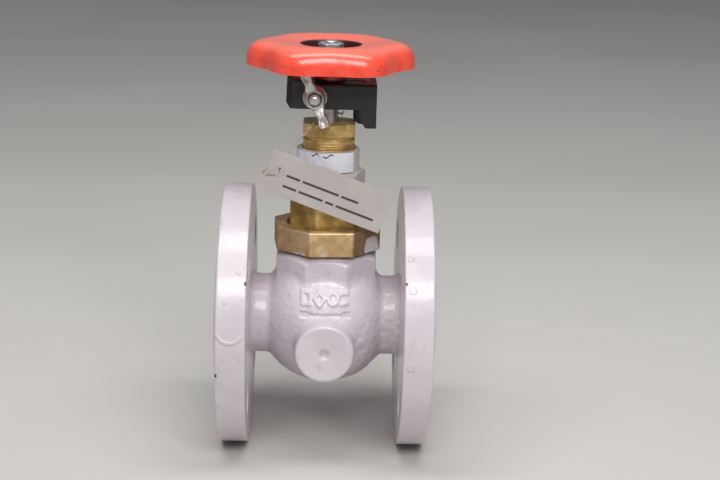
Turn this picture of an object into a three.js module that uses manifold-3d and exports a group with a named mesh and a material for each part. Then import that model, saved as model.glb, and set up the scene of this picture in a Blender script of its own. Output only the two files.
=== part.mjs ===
// Flanged regulating globe valve, DN 25, with a union bonnet and a clamp that locks the stem.
//
// Millimetres, +Z up. The origin is on the floor, straight under the stem. The flow runs along
// +X, from the left flange to the right one, and the side that faces -Y is the front.

import * as THREE from 'three';
import { mergeVertices } from 'three/addons/utils/BufferGeometryUtils.js';
import Module from 'manifold-3d';

const wasm = await Module();
wasm.setup();

// ---- driving dimensions ------------------------------------------------------------------

const GAP = 0.3;                 // clearance left between pieces that rest on each other

const FLANGE_RADIUS = 57.5;      // DN 25 PN 16 flange
const FACE_TO_FACE = 95;
const RAISED_FACE_RADIUS = 34;
const RAISED_FACE_HEIGHT = 2;
const FLANGE_THICKNESS = 12.7;
const BOLT_CIRCLE_RADIUS = 42.5;
const BOLT_HOLE_RADIUS = 7;
const BORE_RADIUS = 12.5;
const AXIS_Z = FLANGE_RADIUS;    // height of the flow axis

const GLOBE_RADIUS = 30;
const WALL = 4.8;
const NECK_RADIUS = 17.5;
const COLLAR_RADIUS = 23.6;      // to the corners of the octagon
const COLLAR_TOP = 88.3;
const SPIGOT_RADIUS = 19;
const SPIGOT_TOP = 93.2;
const BONNET_BORE_RADIUS = 15.5;
const BOSS_RADIUS = 12.5;
const BOSS_REACH = 42;
const BOSS_Z = 52;

const SEAT_RADIUS = 8.5;
const SEAT_RING_RADIUS = 11;
const WEB_THICKNESS = 5;

const UNION_NUT_RADIUS = 24.5;   // to the corners of the octagon
const UNION_NUT_LOW = 89.5;
const UNION_NUT_TOP = 100;
const UNION_LIP_LOW = 97.4;
const BONNET_HEX_RADIUS = 17;
const BONNET_HEX_TOP = 124;
const BONNET_COLLAR_RADIUS = 13.5;
const BONNET_COLLAR_TOP = 133.4;
const BONNET_LOW = 84;

const STEM_RADIUS = 3.8;
const STEM_THREAD_RADIUS = 5.9;
const STEM_TOP_RADIUS = 3;
const STEM_TOP = 180;

const PACKING_RADIUS = 7.7;
const PACKING_LOW = 109.3;
const PACKING_HEIGHT = 3.2;
const PACKING_COUNT = 3;

const GLAND_SHANK_RADIUS = 11.35;
const GLAND_HEX_RADIUS = 13;
const GLAND_HEX_LOW = 139;
const GLAND_TOP = 145;

const WHEEL_RADIUS = 36.4;
const WHEEL_LOBES = 6;
const WHEEL_DENT = 4.2;
const WHEEL_RIM_Z = 169;
const WHEEL_HUB_LOW = 165.8;
const WHEEL_BOSS_LOW = 163.4;     // underside of the short boss round the stem
const WHEEL_BOSS_RADIUS = 7;
const WHEEL_HUB_TOP = 171.5;
const WHEEL_OPENING_RADIUS = 12.9;

const CLAMP_LOW = 151.8;
const CLAMP_TOP = 162.8;
const CLAMP_LEFT = -16.1;
const CLAMP_RIGHT = 20;
const CLAMP_DEPTH = 12;          // from the split to the front face, and to the rear face
const CLAMP_FOOT_LEFT = 12.8;
const CLAMP_FOOT_LOW = 144;
const CLAMP_PIN_X = 15.6;
const CLAMP_PIN_RADIUS = 1.6;
const BOLT_X = -6.4;
const BOLT_Z = 157.1;
const BOLT_RADIUS = 2.45;
const BOLT_END = 21.6;

const WASHER_RADIUS = 5.2;
const WASHER_THICKNESS = 1;
const WING_HUB_RADIUS = 4.9;
const WING_HUB_HEIGHT = 6;
const WING_REACH = 13;
const WING_THICKNESS = 3.2;
const WING_ANGLE = 20;           // degrees that the wings lean from upright

const TAG_LENGTH = 54.3;
const TAG_HEIGHT = 18.3;
const TAG_THICKNESS = 1;
const TAG_FRONT = 21;            // distance of the tag's front face from the stem axis
const TAG_ANGLE = 20.2;          // degrees that the tag's right end hangs down
const TAG_HOLE = new THREE.Vector2(-20.9, 126.1);
const TAG_HOLE_RADIUS = 2.1;
const TAG_HOLE_INSET = 5.1;      // from the tag's left edge
const TAG_HOLE_DROP = 8.8;       // from the tag's top edge
const WIRE_RADIUS = 0.5;

// ---- solids ------------------------------------------------------------------------------

// Six times the volume that the triangles enclose: positive when their faces point out.
function signedVolume(points, triangles) {
  const a = new THREE.Vector3();
  const b = new THREE.Vector3();
  const c = new THREE.Vector3();
  let sum = 0;
  for (let i = 0; i < triangles.length; i += 3) {
    a.fromArray(points, triangles[i] * 3);
    b.fromArray(points, triangles[i + 1] * 3);
    c.fromArray(points, triangles[i + 2] * 3);
    sum += a.dot(b.cross(c));
  }
  return sum;
}

// A closed geometry as a solid with its faces pointing out.
function toSolid(geometry) {
  const bare = geometry.clone();
  bare.deleteAttribute('normal');
  bare.deleteAttribute('uv');
  const merged = mergeVertices(bare, 1e-4);
  const points = new Float32Array(merged.attributes.position.array);
  const index = merged.index.array;
  const triangles = [];
  for (let i = 0; i < index.length; i += 3) {
    const [a, b, c] = [index[i], index[i + 1], index[i + 2]];
    if (a !== b && b !== c && c !== a) triangles.push(a, b, c);
  }
  if (signedVolume(points, triangles) < 0) triangles.reverse();
  const mesh = new wasm.Mesh({
    numProp: 3,
    vertProperties: points,
    triVerts: new Uint32Array(triangles),
  });
  return new wasm.Manifold(mesh);
}

function toGeometry(solid) {
  const mesh = solid.getMesh();
  const geometry = new THREE.BufferGeometry();
  geometry.setAttribute('position', new THREE.BufferAttribute(mesh.vertProperties, 3));
  geometry.setIndex(new THREE.BufferAttribute(mesh.triVerts, 1));
  geometry.computeVertexNormals();
  return geometry;
}

function join(first, ...others) {
  let solid = toSolid(first);
  for (const other of others) solid = solid.add(toSolid(other));
  return toGeometry(solid);
}

function cut(base, ...tools) {
  let solid = toSolid(base);
  for (const tool of tools) solid = solid.subtract(toSolid(tool));
  return toGeometry(solid);
}

function common(first, second) {
  return toGeometry(toSolid(first).intersect(toSolid(second)));
}

// ---- basic shapes ------------------------------------------------------------------------

// A profile of [radius, height] pairs turned about +Z. With flats on, the straight sides are
// tangent to the radius, so a round flange gets a flat to stand on.
function revolve(profile, segments, flats = false) {
  const grow = flats ? 1 / Math.cos(Math.PI / segments) : 1;
  const points = profile.map(([radius, height]) => new THREE.Vector2(radius * grow, height));
  const geometry = new THREE.LatheGeometry(points, segments, flats ? Math.PI / segments : 0);
  return geometry.rotateX(Math.PI / 2);
}

function cylinder(radius, low, high, segments = 24) {
  return revolve([[0, low], [radius, low], [radius, high], [0, high]], segments);
}

function ring(inner, outer, low, high, segments = 24) {
  return revolve([[inner, low], [outer, low], [outer, high], [inner, high], [inner, low]], segments);
}

// An outline of [x, y] pairs, raised from low to high along +Z.
function prism(outline, low, high) {
  const shape = new THREE.Shape(outline.map(([x, y]) => new THREE.Vector2(x, y)));
  const geometry = new THREE.ExtrudeGeometry(shape, { depth: high - low, bevelEnabled: false });
  return geometry.translate(0, 0, low);
}

// An outline of [x, z] pairs, raised along Y from near to far.
function slab(outline, near, far) {
  return prism(outline, -far, -near).rotateX(Math.PI / 2);
}

// The corners of a regular polygon. Angles count from the front (-Y) towards +X.
function polygon(radius, sides, firstAngle) {
  const corners = [];
  for (let i = 0; i < sides; i++) {
    const angle = THREE.MathUtils.degToRad(firstAngle + (i * 360) / sides);
    corners.push([radius * Math.sin(angle), -radius * Math.cos(angle)]);
  }
  return corners;
}

// A nut's outside: a regular prism whose corners are turned away at the top and the bottom.
function nutBlank(radius, sides, firstAngle, low, high, topChamfer, lowChamfer) {
  const flat = radius * Math.cos(Math.PI / sides) * 0.985;
  const profile = [[0, low], [flat, low], [radius + 1, low + lowChamfer]];
  profile.push([radius + 1, high - topChamfer], [flat, high], [0, high]);
  const corners = polygon(radius, sides, firstAngle);
  return common(prism(corners, low, high), revolve(profile, 6 * sides));
}

// Turns a shape that stands on +Z so that it lies along +X, or so that it points to the front.
function alongX(geometry) {
  return geometry.rotateY(Math.PI / 2);
}

function towardsFront(geometry) {
  return geometry.rotateX(Math.PI / 2);
}

// ---- materials ---------------------------------------------------------------------------

function material(color, roughness, metalness) {
  return new THREE.MeshStandardMaterial({ color, roughness, metalness });
}

const painted = () => material('#c6bcc2', 0.45, 0);
const brass = () => material('#b08a4a', 0.35, 1);
const steel = () => material('#a9a8a6', 0.35, 1);
const black = () => material('#1b1a1c', 0.35, 0);

const valve = new THREE.Group();

function addPart(name, geometry, finish) {
  const part = new THREE.Mesh(geometry, finish);
  part.name = name;
  valve.add(part);
  return part;
}

// ---- body --------------------------------------------------------------------------------

// Both flanges and the necks between them, turned about the flow axis.
function flangesAndNecks() {
  const face = FACE_TO_FACE / 2;
  const front = face - RAISED_FACE_HEIGHT;
  const back = front - FLANGE_THICKNESS;
  const edge = 1.2;
  const right = [
    [NECK_RADIUS, 0],
    [NECK_RADIUS, back - 4],
    [NECK_RADIUS + 2.5, back],
    [FLANGE_RADIUS - edge, back],
    [FLANGE_RADIUS, back + edge],
    [FLANGE_RADIUS, front - edge],
    [FLANGE_RADIUS - edge, front],
    [RAISED_FACE_RADIUS, front],
    [RAISED_FACE_RADIUS, face],
    [0, face],
  ];
  const left = right.slice(1).reverse().map(([radius, x]) => [radius, -x]);
  return alongX(revolve([...left, ...right], 48, true)).translate(0, 0, AXIS_Z);
}

// A round boss with a turned edge and a centre-drill dimple, on one side of the globe.
function boss() {
  const edge = 1.2;
  const dimple = 2.1;
  const profile = [
    [0, 10],
    [BOSS_RADIUS + 3.5, 10],
    [BOSS_RADIUS + 3.5, 23],
    [BOSS_RADIUS, 28],
    [BOSS_RADIUS, BOSS_REACH - edge],
    [BOSS_RADIUS - edge, BOSS_REACH],
    [dimple, BOSS_REACH],
    [0, BOSS_REACH - dimple],
  ];
  return towardsFront(revolve(profile, 24)).translate(0, 0, BOSS_Z);
}

function octagonCollar() {
  const blank = nutBlank(COLLAR_RADIUS, 8, 22.5, 70, COLLAR_TOP, 2.4, 0);
  return join(blank, cylinder(SPIGOT_RADIUS, 80, SPIGOT_TOP, 32));
}

// The web between inlet and outlet: high at the inlet, flat under the plug, low at the outlet.
function web() {
  const half = WEB_THICKNESS / 2;
  const bend = 13;
  const outer = [31, 22];
  const outline = [
    [-outer[0], outer[1] - half],
    [-bend - 1, -half],
    [bend - 1, -half],
    [outer[0], -outer[1] - half],
    [outer[0] + 3, -outer[1] + half],
    [bend + 1, half],
    [-bend + 1, half],
    [-outer[0] + 3, outer[1] + half + 2],
  ];
  return slab(outline, -GLOBE_RADIUS, GLOBE_RADIUS).translate(0, 0, AXIS_Z);
}

function flowPassage() {
  const hollow = new THREE.SphereGeometry(GLOBE_RADIUS - WALL, 20, 12).translate(0, 0, AXIS_Z);
  const bore = alongX(cylinder(BORE_RADIUS, -FACE_TO_FACE, FACE_TO_FACE, 20)).translate(0, 0, AXIS_Z);
  const mouth = cylinder(BONNET_BORE_RADIUS, AXIS_Z + 8, SPIGOT_TOP + 10);
  return cut(join(hollow, bore, mouth), web());
}

function boltHoles() {
  const offset = BOLT_CIRCLE_RADIUS * Math.SQRT1_2;
  const holes = [];
  for (const y of [-offset, offset]) {
    for (const z of [-offset, offset]) {
      const hole = cylinder(BOLT_HOLE_RADIUS, -FACE_TO_FACE, FACE_TO_FACE, 12);
      holes.push(alongX(hole).translate(0, y, AXIS_Z + z));
    }
  }
  return holes;
}

function valveBody() {
  const globe = new THREE.SphereGeometry(GLOBE_RADIUS, 28, 16).translate(0, 0, AXIS_Z);
  const outside = join(flangesAndNecks(), globe, octagonCollar(), boss(), boss().rotateZ(Math.PI));
  const seatHole = cylinder(SEAT_RING_RADIUS + GAP, AXIS_Z - 8, AXIS_Z + 8);
  const rimHole = cylinder(SEAT_RING_RADIUS + 2.4, AXIS_Z + WEB_THICKNESS / 2 - 0.2, AXIS_Z + 12);
  return cut(outside, flowPassage(), seatHole, rimHole, ...boltHoles());
}

// ---- seat and plug -----------------------------------------------------------------------

const SEAT_TOP = AXIS_Z + WEB_THICKNESS / 2 + 2;
const PLUG_SOCKET_LOW = 66.8;
const PLUG_TOP = 73;
const STEM_HEAD_LOW = 67.1;
const STEM_HEAD_TOP = 69.7;
const STEM_HEAD_RADIUS = 4.6;

function seatRing() {
  const rim = SEAT_TOP - 1.7;
  const profile = [
    [SEAT_RADIUS, AXIS_Z - 3.3],
    [SEAT_RING_RADIUS, AXIS_Z - 3.3],
    [SEAT_RING_RADIUS, rim],
    [SEAT_RING_RADIUS + 1.8, rim],
    [SEAT_RING_RADIUS + 1.8, SEAT_TOP],
    [SEAT_RADIUS + 1.5, SEAT_TOP],
    [SEAT_RADIUS, SEAT_TOP - 1.5],
    [SEAT_RADIUS, AXIS_Z - 3.3],
  ];
  return revolve(profile, 32);
}

// A regulating cone below the seating line, a socket for the stem's head above it.
function plug() {
  const seatLine = SEAT_TOP - 1.6;
  const profile = [
    [0, 51],
    [4, 51],
    [SEAT_RADIUS - 0.5, seatLine],
    [SEAT_RADIUS + 2.5, seatLine + 3],
    [SEAT_RADIUS + 2.5, seatLine + 6],
    [6.8, 69.5],
    [6.8, PLUG_TOP],
    [5, PLUG_TOP],
    [5, PLUG_SOCKET_LOW],
    [0, PLUG_SOCKET_LOW],
  ];
  return revolve(profile, 32);
}

function plugNut() {
  return ring(STEM_TOP_RADIUS + GAP, STEM_HEAD_RADIUS + 0.1, STEM_HEAD_TOP + GAP, PLUG_TOP - 0.2);
}

// ---- bonnet ------------------------------------------------------------------------------

const GASKET_LOW = SPIGOT_TOP + 0.2;
const GASKET_TOP = GASKET_LOW + 1;
const BONNET_FLANGE_TOP = UNION_LIP_LOW - GAP;
const GLAND_SOCKET_LOW = 125.2;

function bonnetGasket() {
  return ring(BONNET_BORE_RADIUS + 0.3, SPIGOT_RADIUS - 0.4, GASKET_LOW, GASKET_TOP, 32);
}

function bonnet() {
  const hex = nutBlank(BONNET_HEX_RADIUS, 6, -16.6, 96, BONNET_HEX_TOP, 1.6, 0);
  const turned = [
    [0, BONNET_LOW],
    [BONNET_BORE_RADIUS - 0.7, BONNET_LOW],
    [BONNET_BORE_RADIUS - 0.5, GASKET_TOP + 0.2],
    [SPIGOT_RADIUS - 0.4, GASKET_TOP + 0.2],
    [SPIGOT_RADIUS - 0.4, BONNET_FLANGE_TOP],
    [BONNET_COLLAR_RADIUS, BONNET_FLANGE_TOP],
    [BONNET_COLLAR_RADIUS, BONNET_COLLAR_TOP],
    [0, BONNET_COLLAR_TOP],
  ];
  const hollow = [
    [0, BONNET_LOW - 1],
    [STEM_THREAD_RADIUS + GAP, BONNET_LOW - 1],
    [STEM_THREAD_RADIUS + GAP, 105.5],
    [STEM_RADIUS + GAP, 107.5],
    [STEM_RADIUS + GAP, PACKING_LOW - GAP],
    [PACKING_RADIUS + GAP, PACKING_LOW - GAP],
    [PACKING_RADIUS + GAP, GLAND_SOCKET_LOW],
    [GLAND_SHANK_RADIUS + GAP, GLAND_SOCKET_LOW],
    [GLAND_SHANK_RADIUS + GAP, BONNET_COLLAR_TOP + 1],
    [0, BONNET_COLLAR_TOP + 1],
  ];
  return cut(join(revolve(turned, 32), hex), revolve(hollow, 32));
}

// Octagonal cap nut. Its lip holds the bonnet's flange down on the body's spigot.
function unionNut() {
  const blank = nutBlank(UNION_NUT_RADIUS, 8, -17.5, UNION_NUT_LOW, UNION_NUT_TOP, 1, 1.2);
  const lipBore = cylinder(BONNET_HEX_RADIUS + 0.6, UNION_NUT_LOW - 1, UNION_NUT_TOP + 1, 32);
  const threadBore = cylinder(SPIGOT_RADIUS + GAP, UNION_NUT_LOW - 1, UNION_LIP_LOW, 32);
  return cut(blank, lipBore, threadBore);
}

// Paper sleeve that is wrapped round the collar and leaves a strip of it bare.
function labelSleeve() {
  const inner = BONNET_COLLAR_RADIUS + 0.25;
  const outer = inner + 0.4;
  const start = THREE.MathUtils.degToRad(-40);
  const sweep = -THREE.MathUtils.degToRad(220);
  const shape = new THREE.Shape();
  shape.absarc(0, 0, outer, start, start + sweep, true);
  shape.absarc(0, 0, inner, start + sweep, start, false);
  const options = { depth: 8.6, bevelEnabled: false, curveSegments: 28 };
  return new THREE.ExtrudeGeometry(shape, options).translate(0, 0, 124.5);
}

// ---- stem packing and gland --------------------------------------------------------------

const PACKING_PITCH = PACKING_HEIGHT + 0.2;
const WASHER_LOW = PACKING_LOW + PACKING_COUNT * PACKING_PITCH;

function packingRing(index) {
  const low = PACKING_LOW + index * PACKING_PITCH;
  return ring(STEM_RADIUS + 0.2, PACKING_RADIUS, low, low + PACKING_HEIGHT, 20);
}

function packingWasher() {
  return ring(STEM_RADIUS + 0.4, PACKING_RADIUS, WASHER_LOW, WASHER_LOW + 1.5, 20);
}

// Nose that presses on the packing, threaded shank, turned neck and hexagon.
function glandNut() {
  const turned = [
    [0, WASHER_LOW + 1.8],
    [PACKING_RADIUS - 0.1, WASHER_LOW + 1.8],
    [PACKING_RADIUS - 0.1, GLAND_SOCKET_LOW + 0.4],
    [GLAND_SHANK_RADIUS, GLAND_SOCKET_LOW + 0.4],
    [GLAND_SHANK_RADIUS, GLAND_HEX_LOW - 1.3],
    [GLAND_SHANK_RADIUS - 0.7, GLAND_HEX_LOW - 1.1],
    [GLAND_SHANK_RADIUS - 0.7, GLAND_HEX_LOW + 1],
    [0, GLAND_HEX_LOW + 1],
  ];
  const hex = nutBlank(GLAND_HEX_RADIUS, 6, 0, GLAND_HEX_LOW, GLAND_TOP, 0.8, 0.8);
  const bore = cylinder(STEM_RADIUS + 0.4, WASHER_LOW, GLAND_TOP + 1);
  return cut(join(revolve(turned, 32), hex), bore);
}

// ---- stem and handwheel ------------------------------------------------------------------

function stem() {
  const shoulder = WHEEL_BOSS_LOW - GAP;
  const profile = [
    [0, STEM_HEAD_LOW],
    [STEM_HEAD_RADIUS, STEM_HEAD_LOW],
    [STEM_HEAD_RADIUS, STEM_HEAD_TOP],
    [STEM_TOP_RADIUS, STEM_HEAD_TOP],
    [STEM_TOP_RADIUS, 75],
    [STEM_THREAD_RADIUS, 76.5],
    [STEM_THREAD_RADIUS, 95],
    [STEM_RADIUS, 97],
    [STEM_RADIUS, shoulder],
    [STEM_TOP_RADIUS, shoulder],
    [STEM_TOP_RADIUS, STEM_TOP - 0.6],
    [STEM_TOP_RADIUS - 0.6, STEM_TOP],
    [0, STEM_TOP],
  ];
  return revolve(profile, 24);
}

// Pressed wheel: a hub, a well round the nut, a crowned top and a lobed skirt, open below.
function handwheel() {
  const rim = WHEEL_RADIUS;
  const well = WHEEL_OPENING_RADIUS;
  const bore = STEM_TOP_RADIUS + GAP;
  const profile = [
    [bore, WHEEL_BOSS_LOW],
    [WHEEL_BOSS_RADIUS, WHEEL_BOSS_LOW],
    [WHEEL_BOSS_RADIUS, WHEEL_HUB_LOW],
    [well - 0.4, WHEEL_HUB_LOW],
    [well + 1.3, WHEEL_HUB_LOW + 1.6],
    [well + 1.5, 175.2],
    [18, 176.6],
    [26, 177.6],
    [30.6, 176.2],
    [rim - 2.6, WHEEL_RIM_Z + 4],
    [rim - 1.8, WHEEL_RIM_Z],
    [rim, WHEEL_RIM_Z],
    [rim - 0.2, WHEEL_RIM_Z + 4.6],
    [rim - 1.8, WHEEL_RIM_Z + 8],
    [rim - 4.8, STEM_TOP - 0.9],
    [26, STEM_TOP],
    [19, STEM_TOP - 0.7],
    [well + 0.8, STEM_TOP - 1.7],
    [well, STEM_TOP - 2.8],
    [well - 0.7, WHEEL_HUB_LOW + 3],
    [7.6, WHEEL_HUB_LOW + 2.6],
    [7.4, WHEEL_HUB_TOP],
    [bore, WHEEL_HUB_TOP],
    [bore, WHEEL_BOSS_LOW],
  ];
  const wheel = revolve(profile, 48);
  const position = wheel.attributes.position;
  for (let i = 0; i < position.count; i++) {
    const x = position.getX(i);
    const y = position.getY(i);
    const radius = Math.hypot(x, y);
    const angle = Math.atan2(x, -y);
    const share = Math.max(0, (radius - 22) / (rim - 22));
    const dent = WHEEL_DENT * share * (0.5 + 0.5 * Math.cos(WHEEL_LOBES * angle));
    const scale = (radius - dent) / radius;
    position.setXY(i, x * scale, y * scale);
  }
  return wheel;
}

function wheelWasher() {
  return ring(STEM_TOP_RADIUS + GAP, 6.4, WHEEL_HUB_TOP + GAP, WHEEL_HUB_TOP + 1.3);
}

function wheelNut() {
  const low = WHEEL_HUB_TOP + 1.6;
  const blank = nutBlank(5.77, 6, -24, low, low + 6, 0.7, 0.5);
  return cut(blank, cylinder(STEM_TOP_RADIUS + GAP, low - 1, low + 7, 16));
}

// ---- stem clamp --------------------------------------------------------------------------

const SPLIT = 0.3;               // half of the slot between the two clamp halves

function clampHoles() {
  const stemHole = cylinder(STEM_RADIUS + GAP, CLAMP_FOOT_LOW - 1, CLAMP_TOP + 5);
  const pinHole = cylinder(CLAMP_PIN_RADIUS + 0.2, CLAMP_LOW - 9, CLAMP_TOP + 5, 16);
  pinHole.translate(CLAMP_PIN_X, 0, 0);
  const boltHole = towardsFront(cylinder(BOLT_RADIUS + GAP, -20, 20, 20));
  boltHole.translate(BOLT_X, 0, BOLT_Z);
  return [stemHole, pinHole, boltHole];
}

// Front half: a block with a raised left end and a foot that reaches down beside the gland nut.
function lockClampFront() {
  const step = -8.4;
  const foot = [
    [CLAMP_LEFT, CLAMP_LOW + 1],
    [CLAMP_LEFT + 1, CLAMP_LOW],
    [CLAMP_FOOT_LEFT, CLAMP_LOW],
    [CLAMP_FOOT_LEFT, CLAMP_FOOT_LOW + 3.4],
    [CLAMP_FOOT_LEFT + 2.6, CLAMP_FOOT_LOW],
    [CLAMP_RIGHT - 0.6, CLAMP_FOOT_LOW],
    [CLAMP_RIGHT, CLAMP_FOOT_LOW + 0.6],
    [CLAMP_RIGHT, CLAMP_TOP - 0.6],
    [CLAMP_RIGHT - 0.6, CLAMP_TOP],
    [step, CLAMP_TOP],
    [step - 1, CLAMP_TOP + 1.7],
    [CLAMP_LEFT, CLAMP_TOP + 1.7],
  ];
  return cut(slab(foot, -CLAMP_DEPTH, -SPLIT), ...clampHoles());
}

// Rear half: longer and deeper on the left, with its own foot behind the front half's foot. The
// foot stands off the split, so that it passes the corner of the gland nut.
function lockClampRear() {
  const left = CLAMP_LEFT - 2.9;
  const drop = 2.1;
  const block = [
    [left, CLAMP_LOW + 0.8],
    [left + 1.8, CLAMP_LOW - drop],
    [left + 9, CLAMP_LOW - drop],
    [left + 10.4, CLAMP_LOW],
    [CLAMP_RIGHT, CLAMP_LOW],
    [CLAMP_RIGHT, CLAMP_TOP],
    [left + 10, CLAMP_TOP],
    [left + 9, CLAMP_TOP + 1.5],
    [left + 0.4, CLAMP_TOP + 1.5],
  ];
  const footLeft = CLAMP_FOOT_LEFT - 2.4;
  const footLow = CLAMP_FOOT_LOW - 1.8;
  const foot = [
    [footLeft, CLAMP_LOW + 2],
    [footLeft, footLow + 2.8],
    [footLeft + 1, footLow + 1],
    [footLeft + 2.6, footLow],
    [CLAMP_RIGHT, footLow],
    [CLAMP_RIGHT, CLAMP_LOW + 2],
  ];
  const whole = join(slab(block, SPLIT, CLAMP_DEPTH), slab(foot, CLAMP_DEPTH - 4, CLAMP_DEPTH));
  return cut(whole, ...clampHoles());
}

function clampHingePin() {
  const pin = cylinder(CLAMP_PIN_RADIUS, CLAMP_LOW + 0.2, CLAMP_TOP + 0.5, 16);
  return pin.translate(CLAMP_PIN_X, 0, 0);
}

// Headed bolt that runs from the rear face to a domed end in front of the wing nut.
function clampBolt() {
  const head = prism(polygon(4.5, 6, 0), -CLAMP_DEPTH - 3.8, -CLAMP_DEPTH - GAP);
  const shank = revolve([
    [0, -CLAMP_DEPTH - 1],
    [BOLT_RADIUS, -CLAMP_DEPTH - 1],
    [BOLT_RADIUS, BOLT_END - 1.2],
    [BOLT_RADIUS * 0.75, BOLT_END - 0.3],
    [0, BOLT_END],
  ], 20);
  return towardsFront(join(head, shank)).translate(BOLT_X, 0, BOLT_Z);
}

const WASHER_NEAR = CLAMP_DEPTH + GAP;
const WING_BASE = WASHER_NEAR + WASHER_THICKNESS + 0.2;

function clampWasher() {
  const washer = ring(BOLT_RADIUS + GAP, WASHER_RADIUS, WASHER_NEAR, WASHER_NEAR + WASHER_THICKNESS);
  return towardsFront(washer).translate(BOLT_X, 0, BOLT_Z);
}

// One wing, standing up from the hub and leaning away from the clamp.
function wing() {
  const shape = new THREE.Shape();
  shape.moveTo(0, 0.4);
  shape.lineTo(5, 0.4);
  shape.quadraticCurveTo(8.2, 1.2, WING_REACH - 1.6, 4.2);
  shape.quadraticCurveTo(WING_REACH + 1, 6.2, WING_REACH - 0.6, 8);
  shape.quadraticCurveTo(WING_REACH - 2, 9.6, 8.6, 7.6);
  shape.lineTo(4, WING_HUB_HEIGHT - 0.4);
  shape.lineTo(0, WING_HUB_HEIGHT - 0.4);
  const options = { depth: WING_THICKNESS, bevelEnabled: false, curveSegments: 5 };
  const plate = new THREE.ExtrudeGeometry(shape, options);
  return plate.translate(0, 0, -WING_THICKNESS / 2).rotateX(Math.PI / 2);
}

function wingNut() {
  const hub = revolve([
    [0, 0],
    [WING_HUB_RADIUS, 0],
    [WING_HUB_RADIUS, 1],
    [WING_HUB_RADIUS - 1.2, WING_HUB_HEIGHT],
    [0, WING_HUB_HEIGHT],
  ], 24);
  const bore = cylinder(BOLT_RADIUS + GAP, -1, WING_HUB_HEIGHT + 4, 20);
  const nut = cut(join(hub, wing(), wing().rotateZ(Math.PI)), bore);
  nut.rotateZ(THREE.MathUtils.degToRad(90 + WING_ANGLE));
  return towardsFront(nut.translate(0, 0, WING_BASE)).translate(BOLT_X, 0, BOLT_Z);
}

// ---- name tag and its wire ---------------------------------------------------------------

function nameTag() {
  const shape = new THREE.Shape();
  const left = -TAG_HOLE_INSET;
  const top = TAG_HOLE_DROP;
  shape.moveTo(left, top);
  shape.lineTo(left, top - TAG_HEIGHT);
  shape.lineTo(left + TAG_LENGTH, top - TAG_HEIGHT);
  shape.lineTo(left + TAG_LENGTH, top);
  const hole = new THREE.Path();
  hole.absarc(0, 0, TAG_HOLE_RADIUS, 0, Math.PI * 2, false);
  shape.holes.push(hole);
  const options = { depth: TAG_THICKNESS, bevelEnabled: false, curveSegments: 10 };
  const tag = new THREE.ExtrudeGeometry(shape, options);
  tag.rotateZ(-THREE.MathUtils.degToRad(TAG_ANGLE));
  tag.translate(TAG_HOLE.x, TAG_HOLE.y, 0);
  return tag.rotateX(Math.PI / 2).translate(0, TAG_THICKNESS - TAG_FRONT, 0);
}

// The wire starts in a curl right of the stem, goes round the back of the stem, comes down over
// the gland nut to the tag, passes through the tag's hole and ends round the tag's left edge.
const WIRE_ROUTE = [
  [6.2, -4.4, 150],
  [5.2, -5.2, 148.9],
  [5.4, -1.5, 148.2],
  [3.6, 3.6, 148],
  [-1, 5, 148],
  [-4.6, 2.4, 147.9],
  [-5.2, -2.5, 147.6],
  [-5.4, -8, 146.8],
  [-7.8, -12.2, 144.4],
  [-11.4, -13.4, 140.2],
  [-15.5, -14.6, 136],
  [-19, -16.6, 131],
  [-20.6, -18.4, 127.2],
  [-20.9, -20.5, 126.1],
  [-21.4, -22.2, 125.8],
  [-24.6, -22.3, 125.6],
  [-27.2, -21.8, 125.7],
  [-27.8, -20.4, 125.9],
  [-26.6, -18.8, 126.6],
  [-24.6, -18.4, 127.4],
];

function tagWire() {
  const points = WIRE_ROUTE.map(([x, y, z]) => new THREE.Vector3(x, y, z));
  const path = new THREE.CatmullRomCurve3(points);
  const section = new THREE.Shape();
  section.absarc(0, 0, WIRE_RADIUS, 0, Math.PI * 2, false);
  const options = { steps: 44, extrudePath: path, bevelEnabled: false, curveSegments: 4 };
  return new THREE.ExtrudeGeometry(section, options);
}

// ---- assembly ----------------------------------------------------------------------------

addPart('valve_body', valveBody(), painted());
addPart('seat_ring', seatRing(), brass());
addPart('plug', plug(), brass());
addPart('plug_nut', plugNut(), brass());
addPart('bonnet_gasket', bonnetGasket(), material('#3c4a3a', 0.9, 0));
addPart('bonnet', bonnet(), brass());
addPart('union_nut', unionNut(), brass());
addPart('label_sleeve', labelSleeve(), material('#e2e0e6', 0.7, 0));
for (let i = 0; i < PACKING_COUNT; i++) {
  addPart(`packing_ring_${i + 1}`, packingRing(i), material('#2f3030', 0.9, 0));
}
addPart('packing_washer', packingWasher(), brass());
addPart('gland_nut', glandNut(), brass());
addPart('stem', stem(), steel());
addPart('handwheel', handwheel(), material('#e8503c', 0.3, 0));
addPart('wheel_washer', wheelWasher(), steel());
addPart('wheel_nut', wheelNut(), steel());
addPart('lock_clamp_front', lockClampFront(), black());
addPart('lock_clamp_rear', lockClampRear(), black());
addPart('clamp_hinge_pin', clampHingePin(), steel());
addPart('clamp_bolt', clampBolt(), steel());
addPart('clamp_washer', clampWasher(), steel());
addPart('wing_nut', wingNut(), steel());
addPart('name_tag', nameTag(), material('#bdb2b0', 0.5, 0));
addPart('tag_wire', tagWire(), steel());

export default valve;
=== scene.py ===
"""Looks of a flanged regulating valve with a stem lock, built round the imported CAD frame.

Shapes are worked out in millimetres in the frame's own axes and become metres when their mesh is
made: +X along the flow, -Y to the front, +Z up, the origin on the floor under the stem.
"""
import math

import bmesh
import bpy
import numpy as np
from mathutils import Matrix, Vector


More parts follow.
